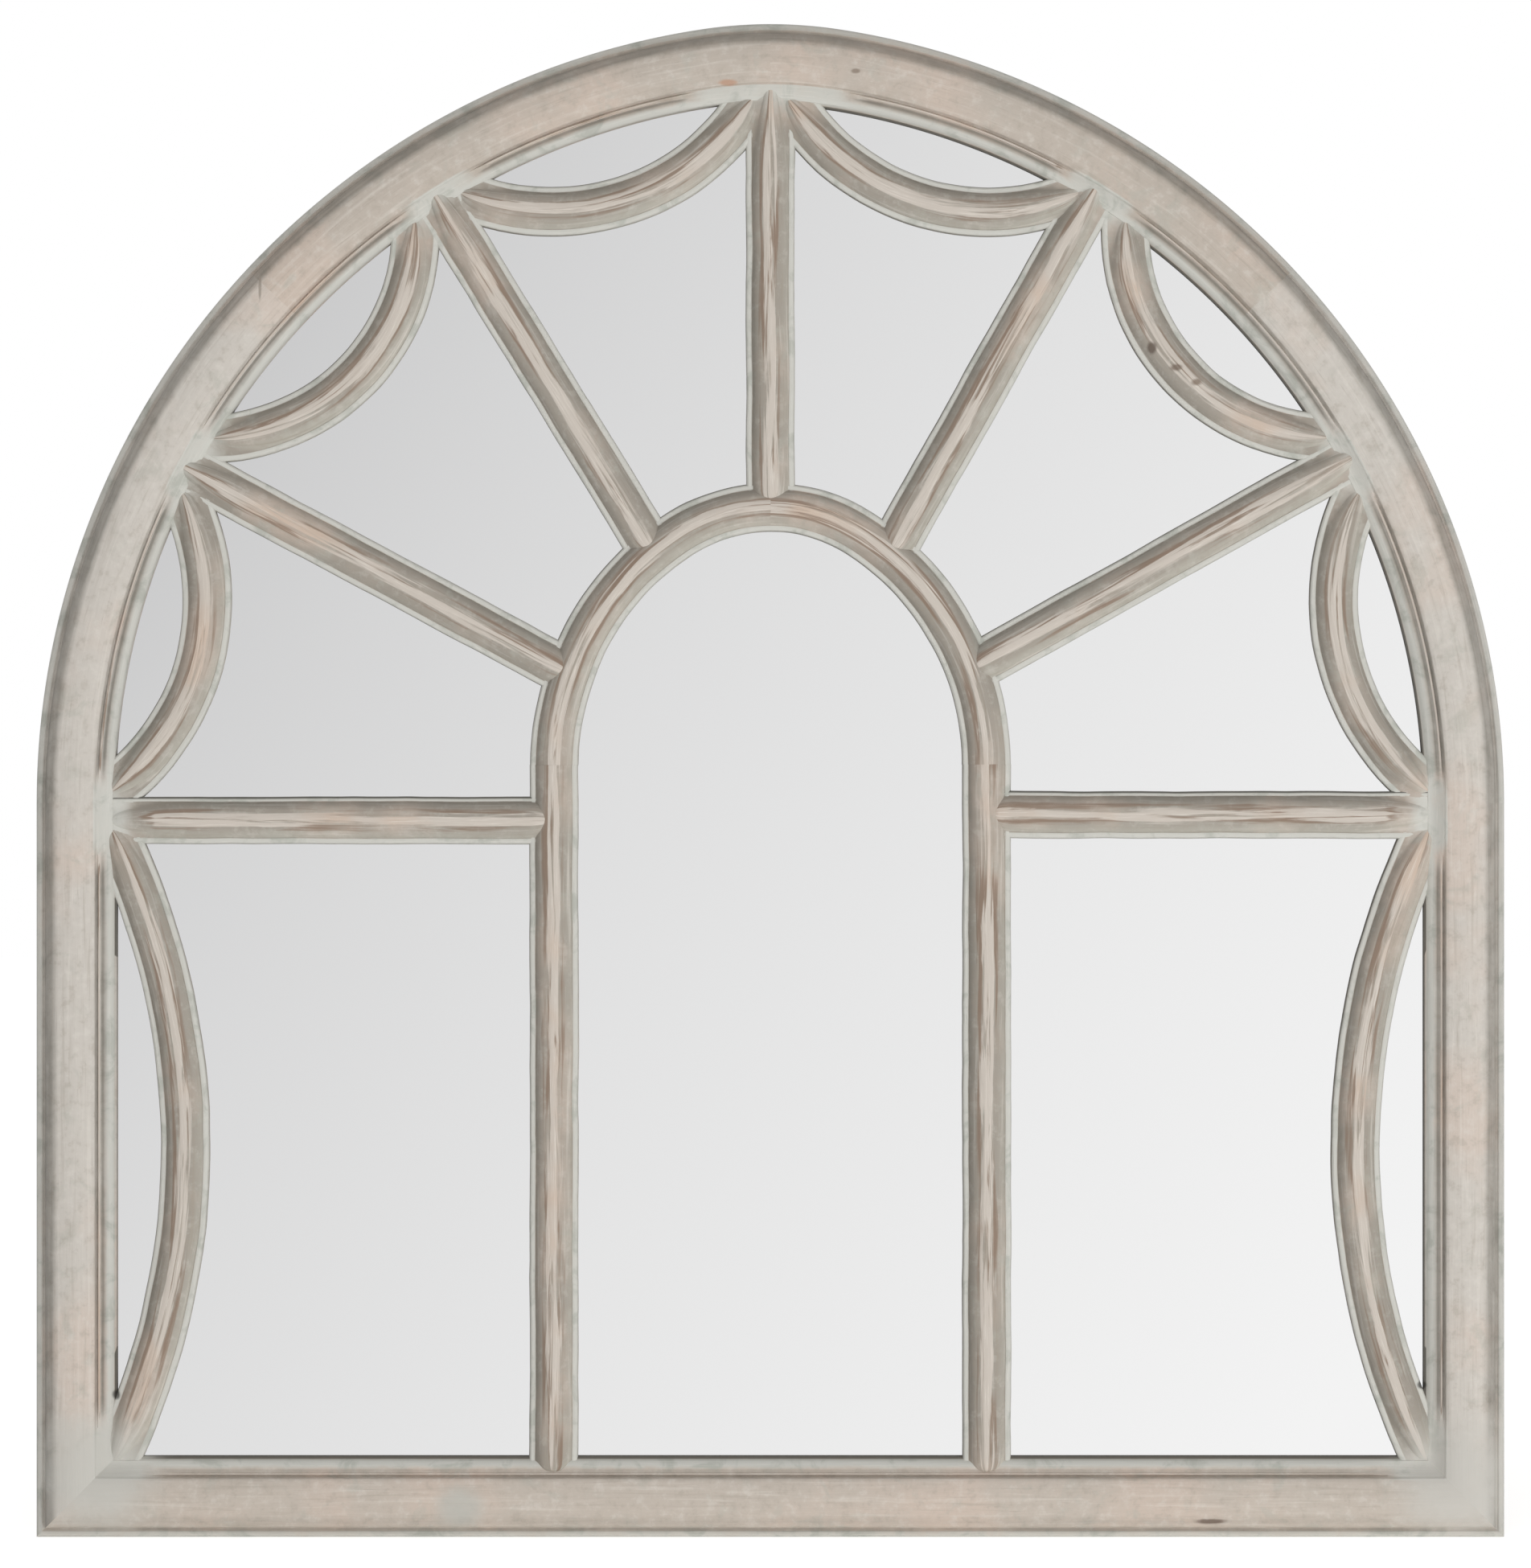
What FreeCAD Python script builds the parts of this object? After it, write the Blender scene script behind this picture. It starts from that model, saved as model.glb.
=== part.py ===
import FreeCAD, Part
import math
import os

# Arched window mirror for a wall: an arch-topped wooden frame, a lattice of glazing bars and swags
# glued inside it, one sheet of mirror behind the lattice, a backing board, and hanging hardware.
# Millimetres. +X is to the right as the mirror is looked at, +Z is up, and +Y points into the wall.
# The origin is the centre of the flat underside of the bottom rail.
# A height t is measured forward from the flat back of the wood, and an inset u inward from the rim.

# Outline of the frame: straight stiles, two side arcs and a crown arc that meets them smoothly
overall_width = 815.0
spring_height = 407.4
side_centre_offset = 27.2
crown_radius = 255.4

# Section of the frame members, from the rim inward
frame_width = 42.5
frame_thickness = 22.0
ledge_width = 4.2
ledge_height = 14.0
ledge_round = 2.0
quirk_width = 1.0
quirk_depth = 1.0
face_rise_width = 4.3
face_rise_bow = 0.8
face_crown = 2.4
groove_width = 2.0
groove_height = 15.0
groove_bow = 0.5
inner_ridge_width = 1.5
inner_ridge_height = 16.0
frame_lip_width = 5.5
frame_lip_bow = 0.6
haunch_joint_angle = 43.0

# Mirror, backing board and their rabbets
mirror_thickness = 4.0
mirror_overlap = 8.5
mirror_gap = 0.5
board_thickness = 3.0
board_recess = 0.5
board_overlap = 15.5
board_gap = 0.5

# Section of the glazing bars and swags, with rises from the mirror
bar_width = 27.0
bar_lip_width = 3.5
bar_lip_height = 5.0
bar_lip_round = 0.8
bar_slope_bow = 1.0
bar_ridge_width = 6.8
bar_ridge_edge_rise = 9.6
bar_ridge_bow = 0.6

# Lattice lines
inner_half_width = 120.0
inner_spring_height = 428.7
inner_side_centre_offset = 32.9
inner_crown_radius = 94.0
cross_bar_height = 399.5
upper_ray_angle = 59.5
upper_ray_centre_height = 434.8
lower_ray_angle = 28.6
lower_ray_centre_height = 419.9

# Swags: how deep each hangs, and how far its ends stand from the bars along the frame's inner edge
crown_swag_sag = 30.9
crown_swag_offset = 10.7
shoulder_swag_sag = 33.7
shoulder_swag_offset = 20.0
haunch_swag_sag = 29.9
haunch_swag_offset = 16.0
stile_swag_sag = 39.1
stile_swag_offset = 8.6
stile_swag_foot_offset = 2.6

# Loose tongues in the mitres, and dowels in the frame's other end joints and in the lattice
tongue_length = 24.0
tongue_reach = 8.0
tongue_thickness = 3.0
tongue_cover = 1.0
frame_dowel_radius = 3.0
frame_dowel_half_length = 18.0
frame_dowel_height = 9.0
frame_dowel_rim_inset = 8.5
frame_dowel_rabbet_margin = 10.0
bar_dowel_radius = 1.5
bar_dowel_half_length = 8.0
glue_gap = 0.05

# Screws that hold the backing board
board_screw_radius = 1.25
board_screw_length = 11.0
board_screw_head_radius = 2.6
board_screw_head_height = 1.4
board_screws_per_side = 6
board_screws_at_foot = 3
board_screw_hole_gap = 0.15

# Hangers: a strap whose knuckle holds a D-shaped ring, on the flat back of each haunch
hanger_rise = 112.6
hanger_rabbet_margin = 5.0
strap_width = 13.0
strap_thickness = 1.2
strap_foot_margin = 5.5
ring_wire_radius = 1.5
ring_side_gap = 1.0
ring_corner_radius = 2.5
ring_leg = 5.0
ring_strap_gap = 0.4
ring_screw_gap = 2.5
knuckle_gap = 0.05
hanger_screw_radius = 1.5
hanger_screw_length = 13.0
hanger_screw_head_radius = 3.0
hanger_screw_head_height = 1.9
hanger_screw_spacing = 8.5

# Crosses in the screw heads
cross_arm_width = 0.7
cross_depth = 0.8
cross_share_of_head = 0.6

# Rubber bumpers at the bottom corners of the back
bumper_radius = 6.0
bumper_tip_radius = 4.5
bumper_side_inset = 24.5

# Values worked out from the ones above
half_width = overall_width / 2
side_radius = half_width + side_centre_offset
ledge_side = ledge_height - ledge_round
back_y = ledge_side / 2
crown_centre_height = spring_height + math.sqrt(
    (side_radius - crown_radius) ** 2 - side_centre_offset ** 2)
crown_half_angle = math.asin(side_centre_offset / (side_radius - crown_radius))
mirror_back = board_recess + board_thickness
mirror_front = mirror_back + mirror_thickness
mirror_inset = frame_width - mirror_overlap
mirror_rabbet_inset = mirror_inset - mirror_gap
board_inset = frame_width - board_overlap
board_rabbet_inset = board_inset - board_gap
board_screw_inset = (board_inset + mirror_rabbet_inset) / 2
face_edge_height = frame_thickness - face_crown
lip_top = mirror_front + bar_lip_height
half_bar = bar_width / 2
ring_flat = strap_width / 2 + ring_side_gap
ring_half_width = ring_flat + ring_corner_radius
ring_axis_offset = strap_thickness + ring_strap_gap + ring_wire_radius
ring_drop = ring_leg + ring_half_width + ring_wire_radius
knuckle_bore = ring_wire_radius + knuckle_gap
hanger_height = spring_height + hanger_rise
hanger_screw_drop = ring_drop + ring_screw_gap + hanger_screw_head_radius
strap_length = hanger_screw_drop + hanger_screw_spacing + strap_foot_margin
bumper_height = ring_axis_offset + knuckle_bore + strap_thickness
inner_side_radius = inner_half_width + inner_side_centre_offset
inner_crown_centre_height = inner_spring_height + math.sqrt(
    (inner_side_radius - inner_crown_radius) ** 2 - inner_side_centre_offset ** 2)
inner_crown_half_angle = math.asin(
    inner_side_centre_offset / (inner_side_radius - inner_crown_radius))
quarter_turn = math.pi / 2
overrun = 30.0


def place(x, z, height):
    """Point at x, z and at a height in front of the flat back of the wood."""
    return FreeCAD.Vector(x, back_y - height, z)


def export(shape, node):
    """Write one sub-part to its own file."""
    shape.exportStep("parts/" + node + ".step")


def polar(centre, radius, angle):
    """Point x, z at an angle in radians, counted from straight up towards +X."""
    return (centre[0] + radius * math.sin(angle), centre[1] + radius * math.cos(angle))


def largest(shape):
    """The main solid of a trimmed shape."""
    return max(shape.Solids, key=lambda solid: solid.Volume)


def mirrored(shape):
    """The same shape on the other side of the centre plane."""
    return shape.mirror(FreeCAD.Vector(0, 0, 0), FreeCAD.Vector(1, 0, 0))


def bowed(start, end, bow):
    """Middle point of an arc that stands off its chord by a bow, to the left of its direction."""
    along = (end[0] - start[0], end[1] - start[1])
    length = math.hypot(*along)
    return ((start[0] + end[0]) / 2 - along[1] / length * bow,
            (start[1] + end[1]) / 2 + along[0] / length * bow)


def section_face(start, steps, to_space):
    """Face inside a clockwise outline: each step is an end point and the outward bow of its edge."""
    edges = []
    here = start
    for end, bow in steps + [(start, 0)]:
        if bow == 0:
            edges.append(Part.LineSegment(to_space(*here), to_space(*end)).toShape())
        else:
            middle = bowed(here, end, bow)
            edges.append(Part.Arc(to_space(*here), to_space(*middle), to_space(*end)).toShape())
        here = end
    return Part.Face(Part.Wire(edges))


def frame_section(to_space):
    """Section of a frame member: u runs inward from the rim and t forward from the back."""
    quirk_end = ledge_width + quirk_width
    ridge = frame_width - frame_lip_width
    groove_end = ridge - inner_ridge_width
    round_bow = ledge_round * (1 - math.sqrt(0.5))
    steps = [
        ((0, ledge_side), 0),
        ((ledge_round, ledge_height), round_bow),
        ((ledge_width, ledge_height), 0),
        ((ledge_width, ledge_height - quirk_depth), 0),
        ((quirk_end, ledge_height - quirk_depth), 0),
        ((quirk_end + face_rise_width, face_edge_height), face_rise_bow),
        ((groove_end - groove_width, face_edge_height), face_crown),
        ((groove_end, groove_height), groove_bow),
        ((ridge, inner_ridge_height), 0),
        ((frame_width, lip_top), frame_lip_bow),
        ((frame_width, mirror_front), 0),
        ((mirror_rabbet_inset, mirror_front), 0),
        ((mirror_rabbet_inset, mirror_back), 0),
        ((board_rabbet_inset, mirror_back), 0),
        ((board_rabbet_inset, 0), 0),
    ]
    return section_face((0, 0), steps, to_space)


def bar_section(to_space):
    """Section of a glazing bar: two low lips and a rounded bead between them."""
    bead = half_bar - bar_lip_width
    ridge = bar_ridge_width / 2
    ridge_edge = mirror_front + bar_ridge_edge_rise
    steps = [
        ((-half_bar, lip_top - bar_lip_round), 0),
        ((-half_bar + bar_lip_round, lip_top), 0),
        ((-bead, lip_top), 0),
        ((-ridge, ridge_edge), bar_slope_bow),
        ((ridge, ridge_edge), bar_ridge_bow),
        ((bead, lip_top), bar_slope_bow),
        ((half_bar - bar_lip_round, lip_top), 0),
        ((half_bar, lip_top - bar_lip_round), 0),
        ((half_bar, mirror_front), 0),
    ]
    return section_face((-half_bar, mirror_front), steps, to_space)


def turned(section, centre, radius, outward, start, end):
    """Solid of a section carried round a circle between two angles counted from straight up."""
    def to_space(across, height):
        x, z = polar(centre, radius + outward * across, start)
        return place(x, z, height)
    axis_point = FreeCAD.Vector(centre[0], 0, centre[1])
    axis = FreeCAD.Vector(0, 1, 0)
    return section(to_space).revolve(axis_point, axis, math.degrees(end - start))


def prism(wire):
    """Upright block over a plan outline, taller than the whole wooden frame."""
    return Part.Face(wire).extrude(FreeCAD.Vector(0, -frame_thickness - 2 * overrun, 0))


def plan_polygon(points):
    """Block over a polygon given by its x, z corners."""
    corners = [place(x, z, -overrun) for x, z in points]
    return prism(Part.makePolygon(corners + [corners[0]]))


def arch_wire(spec, inset, foot, height):
    """Closed outline of an arch with straight sides, moved inward by an inset."""
    half, spring, offset, crown, crown_height, crown_angle = spec
    side = half + offset - inset
    top = crown - inset
    edge = half - inset
    right_foot = place(edge, foot, height)
    left_foot = place(-edge, foot, height)
    right_spring = place(edge, spring, height)
    left_spring = place(-edge, spring, height)
    middle_angle = (quarter_turn + crown_angle) / 2
    bend_x, bend_z = polar((-offset, spring), side, middle_angle)
    join_x, join_z = polar((-offset, spring), side, crown_angle)
    apex = place(0, crown_height + top, height)
    edges = [
        Part.LineSegment(left_foot, right_foot).toShape(),
        Part.LineSegment(right_foot, right_spring).toShape(),
        Part.Arc(right_spring, place(bend_x, bend_z, height), place(join_x, join_z, height)).toShape(),
        Part.Arc(place(join_x, join_z, height), apex, place(-join_x, join_z, height)).toShape(),
        Part.Arc(place(-join_x, join_z, height), place(-bend_x, bend_z, height), left_spring).toShape(),
        Part.LineSegment(left_spring, left_foot).toShape(),
    ]
    return Part.Wire(edges)


outer_arch = (half_width, spring_height, side_centre_offset,
              crown_radius, crown_centre_height, crown_half_angle)
inner_arch = (inner_half_width, inner_spring_height, inner_side_centre_offset,
              inner_crown_radius, inner_crown_centre_height, inner_crown_half_angle)


def edge_point(length, inset):
    """Point x, z on the arch outline at an inset, a length along it from the apex to the right."""
    crown_length = (crown_radius - inset) * crown_half_angle
    side_length = (side_radius - inset) * (quarter_turn - crown_half_angle)
    if length <= crown_length:
        angle = length / (crown_radius - inset)
        return polar((0, crown_centre_height), crown_radius - inset, angle)
    if length <= crown_length + side_length:
        angle = crown_half_angle + (length - crown_length) / (side_radius - inset)
        return polar((-side_centre_offset, spring_height), side_radius - inset, angle)
    return (half_width - inset, spring_height - (length - crown_length - side_length))


def edge_length(inset):
    """Length of the outline at an inset, from the apex down to the bottom corner."""
    crown_length = (crown_radius - inset) * crown_half_angle
    side_length = (side_radius - inset) * (quarter_turn - crown_half_angle)
    return crown_length + side_length + spring_height - inset


def meeting_length(start_height, angle):
    """Where a ray from the centre line, at an angle above level, meets the frame's inner edge."""
    low = 0.0
    high = edge_length(frame_width)
    slope = math.tan(math.radians(angle))
    for _ in range(60):
        middle = (low + high) / 2
        x, z = edge_point(middle, frame_width)
        if z > start_height + slope * x:
            low = middle
        else:
            high = middle
    return low


upper_ray_length = meeting_length(upper_ray_centre_height, upper_ray_angle)
lower_ray_length = meeting_length(lower_ray_centre_height, lower_ray_angle)
cross_bar_length = meeting_length(cross_bar_height, 0.0)


def dowel(point, direction, radius, half_length, height):
    """Round peg laid across a joint at a plan point, along a plan direction."""
    run = FreeCAD.Vector(direction[0], 0, direction[1]).normalize()
    start = place(point[0], point[1], height) - run * half_length
    return Part.makeCylinder(radius, 2 * half_length, start, run)


def both_sides(shape):
    """A shape and its twin on the other side of the centre plane."""
    return [shape, mirrored(shape)]


def frame_pegs(gap):
    """Pegs across the spring, haunch and crown joints, or with a gap the holes that they fill."""
    radius = frame_dowel_radius + gap
    half_length = frame_dowel_half_length + gap
    joint_angle = quarter_turn - math.radians(haunch_joint_angle)
    tangent = (math.cos(joint_angle), -math.sin(joint_angle))
    pegs = []
    for inset in (frame_dowel_rim_inset, mirror_rabbet_inset - frame_dowel_rabbet_margin):
        haunch = polar((-side_centre_offset, spring_height), side_radius - inset, joint_angle)
        apex = (0, crown_centre_height + crown_radius - inset)
        spring = (half_width - inset, spring_height)
        pegs += both_sides(dowel(spring, (0, 1), radius, half_length, frame_dowel_height))
        pegs += both_sides(dowel(haunch, tangent, radius, half_length, frame_dowel_height))
        pegs.append(dowel(apex, (1, 0), radius, half_length, frame_dowel_height))
    return pegs


def mitre_tongues(gap):
    """Flat tongues across the two mitres, or with a gap the slots that they fill."""
    along = (tongue_length / 2 + gap) * math.sqrt(0.5)
    across = (tongue_reach + gap) * math.sqrt(0.5)
    x = half_width - frame_width / 2
    z = frame_width / 2
    low = mirror_front + tongue_cover - gap
    corners = [
        place(x - along - across, z + along - across, low),
        place(x - along + across, z + along + across, low),
        place(x + along + across, z - along + across, low),
        place(x + along - across, z - along - across, low),
    ]
    outline = Part.makePolygon(corners + [corners[0]])
    thickness = FreeCAD.Vector(0, -tongue_thickness - 2 * gap, 0)
    return both_sides(Part.Face(outline).extrude(thickness))


def lattice_pegs(gap):
    """Pegs at the ends of the straight bars and of the inner arch, or the holes that they fill."""
    radius = bar_dowel_radius + gap
    half_length = bar_dowel_half_length + gap
    height = mirror_front + bar_lip_height / 2
    inner_apex = inner_crown_centre_height + inner_crown_radius
    pegs = []
    middle = (
        ((0, crown_centre_height + crown_radius - frame_width), (0, 1)),
        ((0, inner_apex + half_bar), (0, 1)),
        ((0, inner_apex), (1, 0)),
    )
    for point, run in middle:
        pegs.append(dowel(point, run, radius, half_length, height))
    sides = [
        ((inner_half_width, frame_width), (0, 1)),
        ((inner_half_width, inner_spring_height), (0, 1)),
    ]
    for length, angle, start in ((upper_ray_length, upper_ray_angle, upper_ray_centre_height),
                                 (lower_ray_length, lower_ray_angle, lower_ray_centre_height),
                                 (cross_bar_length, 0, cross_bar_height)):
        run = (math.cos(math.radians(angle)), math.sin(math.radians(angle)))
        sides.append((edge_point(length, frame_width), run))
        sides.append((inner_meeting(angle, start), run))
    for point, run in sides:
        pegs += both_sides(dowel(point, run, radius, half_length, height))
    return pegs


def inner_meeting(angle, start_height):
    """Where a ray from the centre line crosses the outside of the inner arch."""
    slope = math.tan(math.radians(angle))
    low = 0.0
    high = half_width
    for _ in range(60):
        middle = (low + high) / 2
        if inside_inner_arch(middle, start_height + slope * middle):
            low = middle
        else:
            high = middle
    return (low, start_height + slope * low)


def inside_inner_arch(x, z):
    """Whether a point of the right half lies within the outside of the inner arch."""
    if z <= inner_spring_height:
        return x < inner_half_width + half_bar
    lean = math.atan2(x, z - inner_crown_centre_height)
    if z > inner_crown_centre_height and lean < inner_crown_half_angle:
        reach = math.hypot(x, z - inner_crown_centre_height)
        return reach < inner_crown_radius + half_bar
    reach = math.hypot(x + inner_side_centre_offset, z - inner_spring_height)
    return reach < inner_side_radius + half_bar


def screw(head_centre, head_radius, head_height, shank_radius, length):
    """Pan-headed screw driven forward from the back, with a cross cut in its head."""
    forward = FreeCAD.Vector(0, -1, 0)
    head = Part.makeCylinder(head_radius, head_height, head_centre, forward * -1)
    shank = Part.makeCylinder(shank_radius, length, head_centre, forward)
    arm = head_radius * cross_share_of_head
    bottom = head_centre.y + head_height - cross_depth
    flat = Part.makeBox(2 * arm, cross_depth, cross_arm_width,
                        FreeCAD.Vector(head_centre.x - arm, bottom,
                                       head_centre.z - cross_arm_width / 2))
    upright = Part.makeBox(cross_arm_width, cross_depth, 2 * arm,
                           FreeCAD.Vector(head_centre.x - cross_arm_width / 2, bottom,
                                          head_centre.z - arm))
    return head.fuse(shank).cut([flat, upright]).removeSplitter()


def board_screw_places():
    """Head seats of the screws round the edge of the backing board."""
    places = []
    reach = edge_length(board_screw_inset)
    for index in range(board_screws_per_side):
        length = reach * (index + 0.5) / board_screws_per_side
        x, z = edge_point(length, board_screw_inset)
        places.append(place(x, z, board_recess))
        places.append(place(-x, z, board_recess))
    span = 2 * (half_width - board_screw_inset)
    for index in range(board_screws_at_foot):
        x = span * ((index + 1) / (board_screws_at_foot + 1) - 0.5)
        places.append(place(x, board_screw_inset, board_recess))
    return places


def board_screw_shanks():
    """Holes that the board's screws cut in the wood."""
    shanks = []
    for seat in board_screw_places():
        shanks.append(Part.makeCylinder(board_screw_radius, board_screw_length, seat,
                                        FreeCAD.Vector(0, -1, 0)))
    return shanks


def board_screws():
    """All the screws of the backing board."""
    screws = []
    for seat in board_screw_places():
        screws.append(screw(seat, board_screw_head_radius, board_screw_head_height,
                            board_screw_radius, board_screw_length))
    return screws


def hanger_x():
    """Distance of the right hanger from the centre plane: on the flat back between its screws."""
    screw_height = hanger_height - hanger_screw_drop - hanger_screw_spacing / 2
    radius = side_radius - board_rabbet_inset + hanger_rabbet_margin
    return math.sqrt(radius ** 2 - (screw_height - spring_height) ** 2) - side_centre_offset


def hanger_screw_places():
    """Head seats of the two screws of the right hanger."""
    places = []
    for index in range(2):
        drop = hanger_screw_drop + index * hanger_screw_spacing
        places.append(place(hanger_x(), hanger_height - drop, -strap_thickness))
    return places


def hanger_screw_shanks():
    """Holes that the hangers' screws cut in the wood, on both sides."""
    shanks = []
    for seat in hanger_screw_places():
        shank = Part.makeCylinder(hanger_screw_radius, hanger_screw_length, seat,
                                  FreeCAD.Vector(0, -1, 0))
        shanks += both_sides(shank)
    return shanks


def hanger_screws():
    """All the screws of the two hangers."""
    screws = []
    for seat in hanger_screw_places():
        screws += both_sides(screw(seat, hanger_screw_head_radius, hanger_screw_head_height,
                                   hanger_screw_radius, hanger_screw_length))
    return screws


def bottom_rail():
    """Straight rail along the foot of the frame, mitred at both ends."""
    face = frame_section(lambda u, t: place(-half_width, u, t))
    rail = face.extrude(FreeCAD.Vector(overall_width, 0, 0))
    corners = [(-half_width, 0), (half_width, 0),
               (half_width - frame_width, frame_width), (-half_width + frame_width, frame_width)]
    return rail.common(plan_polygon(corners))


def stile():
    """Straight right side of the frame, mitred at its foot."""
    face = frame_section(lambda u, t: place(half_width - u, 0, t))
    post = face.extrude(FreeCAD.Vector(0, 0, spring_height))
    corners = [(half_width, 0), (half_width, spring_height),
               (half_width - frame_width, spring_height), (half_width - frame_width, frame_width)]
    return post.common(plan_polygon(corners))


def haunch():
    """Lower curved segment of the right side, from the stile to the haunch joint."""
    joint = quarter_turn - math.radians(haunch_joint_angle)
    return turned(frame_section, (-side_centre_offset, spring_height), side_radius, -1,
                  joint, quarter_turn)


def crown():
    """Upper curved segment of the right side, from the haunch joint to the centre."""
    joint = quarter_turn - math.radians(haunch_joint_angle)
    side = turned(frame_section, (-side_centre_offset, spring_height), side_radius, -1,
                  crown_half_angle, joint)
    top = turned(frame_section, (0, crown_centre_height), crown_radius, -1, 0, crown_half_angle)
    return side.fuse(top).removeSplitter()


def inner_stile():
    """Straight side of the inner arch, from the bottom rail to its spring."""
    face = bar_section(lambda u, t: place(inner_half_width + u, frame_width, t))
    return face.extrude(FreeCAD.Vector(0, 0, inner_spring_height - frame_width))


def inner_arch_half():
    """Right half of the curved head of the inner arch."""
    side = turned(bar_section, (-inner_side_centre_offset, inner_spring_height),
                  inner_side_radius, 1, inner_crown_half_angle, quarter_turn)
    top = turned(bar_section, (0, inner_crown_centre_height), inner_crown_radius, 1,
                 0, inner_crown_half_angle)
    return side.fuse(top).removeSplitter()


def ray_blank(start_height, angle):
    """Untrimmed straight bar that leaves the centre line at an angle above level."""
    slant = math.radians(angle)
    run = (math.cos(slant), math.sin(slant))

    def to_space(across, height):
        return place(-across * run[1], start_height + across * run[0], height)
    reach = half_width + crown_centre_height + crown_radius
    return bar_section(to_space).extrude(FreeCAD.Vector(run[0] * reach, 0, run[1] * reach))


def swag_blank(start_length, end_length, sag):
    """Untrimmed curved bar hung between two points of the frame's inner edge."""
    start = edge_point(start_length, frame_width)
    end = edge_point(end_length, frame_width)
    span = math.hypot(end[0] - start[0], end[1] - start[1])
    radius = (span * span / 4 + sag * sag) / (2 * sag)
    outward = ((start[1] - end[1]) / span, (end[0] - start[0]) / span)
    rise = radius - sag
    centre = ((start[0] + end[0]) / 2 + outward[0] * rise,
              (start[1] + end[1]) / 2 + outward[1] * rise)
    middle = math.atan2(-outward[0], -outward[1])
    half_angle = math.asin(min(1.0, span / 2 / radius)) + overrun / radius
    return turned(bar_section, centre, radius, 1, middle - half_angle, middle + half_angle)


def mirror_sheet():
    """The one sheet of mirror, in its rabbet behind the lattice."""
    outline = arch_wire(outer_arch, mirror_inset, mirror_inset, mirror_back)
    return Part.Face(outline).extrude(FreeCAD.Vector(0, -mirror_thickness, 0))


def backing_board():
    """Thin board behind the mirror, with a hole for each of its screws."""
    outline = arch_wire(outer_arch, board_inset, board_inset, board_recess)
    board = Part.Face(outline).extrude(FreeCAD.Vector(0, -board_thickness, 0))
    holes = []
    for seat in board_screw_places():
        holes.append(Part.makeCylinder(board_screw_radius + board_screw_hole_gap,
                                       board_thickness, seat, FreeCAD.Vector(0, -1, 0)))
    return board.cut(holes)


def bent_wire(centre, bend, start, end, depth):
    """Round wire bent about a plan point, between two angles counted from straight up."""
    x, z = polar(centre, bend, start)
    run = FreeCAD.Vector(math.cos(start), 0, -math.sin(start))
    disc = Part.Face(Part.Wire(Part.makeCircle(ring_wire_radius, FreeCAD.Vector(x, depth, z), run)))
    return disc.revolve(FreeCAD.Vector(centre[0], 0, centre[1]), FreeCAD.Vector(0, 1, 0),
                        math.degrees(end - start))


def straight_wire(start, end, depth):
    """Round wire between two plan points."""
    run = FreeCAD.Vector(end[0] - start[0], 0, end[1] - start[1])
    return Part.makeCylinder(ring_wire_radius, run.Length,
                             FreeCAD.Vector(start[0], depth, start[1]), run)


def hanging_ring():
    """D-shaped ring of the right hanger, hanging straight down from its straight bar."""
    depth = back_y + ring_axis_offset
    x = hanger_x()
    z = hanger_height
    left = x - ring_half_width
    right = x + ring_half_width
    bend = ring_corner_radius
    foot = (x, z - ring_leg)
    bar = straight_wire((x - ring_flat, z), (x + ring_flat, z), depth)
    pieces = [
        bent_wire((x + ring_flat, z - bend), bend, 0, quarter_turn, depth),
        straight_wire((right, z - bend), (right, foot[1]), depth),
        bent_wire(foot, ring_half_width, quarter_turn, 3 * quarter_turn, depth),
        straight_wire((left, foot[1]), (left, z - bend), depth),
        bent_wire((x - ring_flat, z - bend), bend, 3 * quarter_turn, 4 * quarter_turn, depth),
    ]
    return bar.fuse(pieces).removeSplitter()


def hanger_strap():
    """Strap of the right hanger: a plate with a round foot and a knuckle round the ring's bar."""
    x = hanger_x()
    half = strap_width / 2
    foot = hanger_height - strap_length
    top_left = place(x - half, hanger_height, 0)
    top_right = place(x + half, hanger_height, 0)
    low_left = place(x - half, foot + half, 0)
    low_right = place(x + half, foot + half, 0)
    outline = Part.Wire([
        Part.LineSegment(low_left, top_left).toShape(),
        Part.LineSegment(top_left, top_right).toShape(),
        Part.LineSegment(top_right, low_right).toShape(),
        Part.Arc(low_right, place(x, foot, 0), low_left).toShape(),
    ])
    plate = Part.Face(outline).extrude(FreeCAD.Vector(0, strap_thickness, 0))
    along = FreeCAD.Vector(1, 0, 0)
    start = FreeCAD.Vector(x - half, back_y + ring_axis_offset, hanger_height)
    knuckle = Part.makeCylinder(knuckle_bore + strap_thickness, strap_width, start, along)
    bore = Part.makeCylinder(knuckle_bore, strap_width, start, along)
    return plate.fuse(knuckle).cut([bore] + hanger_screw_shanks())


def bumper():
    """Rubber foot on the back of the bottom rail, at its right end."""
    seat = place(half_width - bumper_side_inset, board_rabbet_inset / 2, 0)
    return Part.makeCone(bumper_radius, bumper_tip_radius, bumper_height, seat,
                         FreeCAD.Vector(0, 1, 0))


def export_pair(shape, name):
    """Write a sub-part of the right half, and its twin of the left half."""
    export(shape, "right_" + name)
    export(mirrored(shape), "left_" + name)


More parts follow.
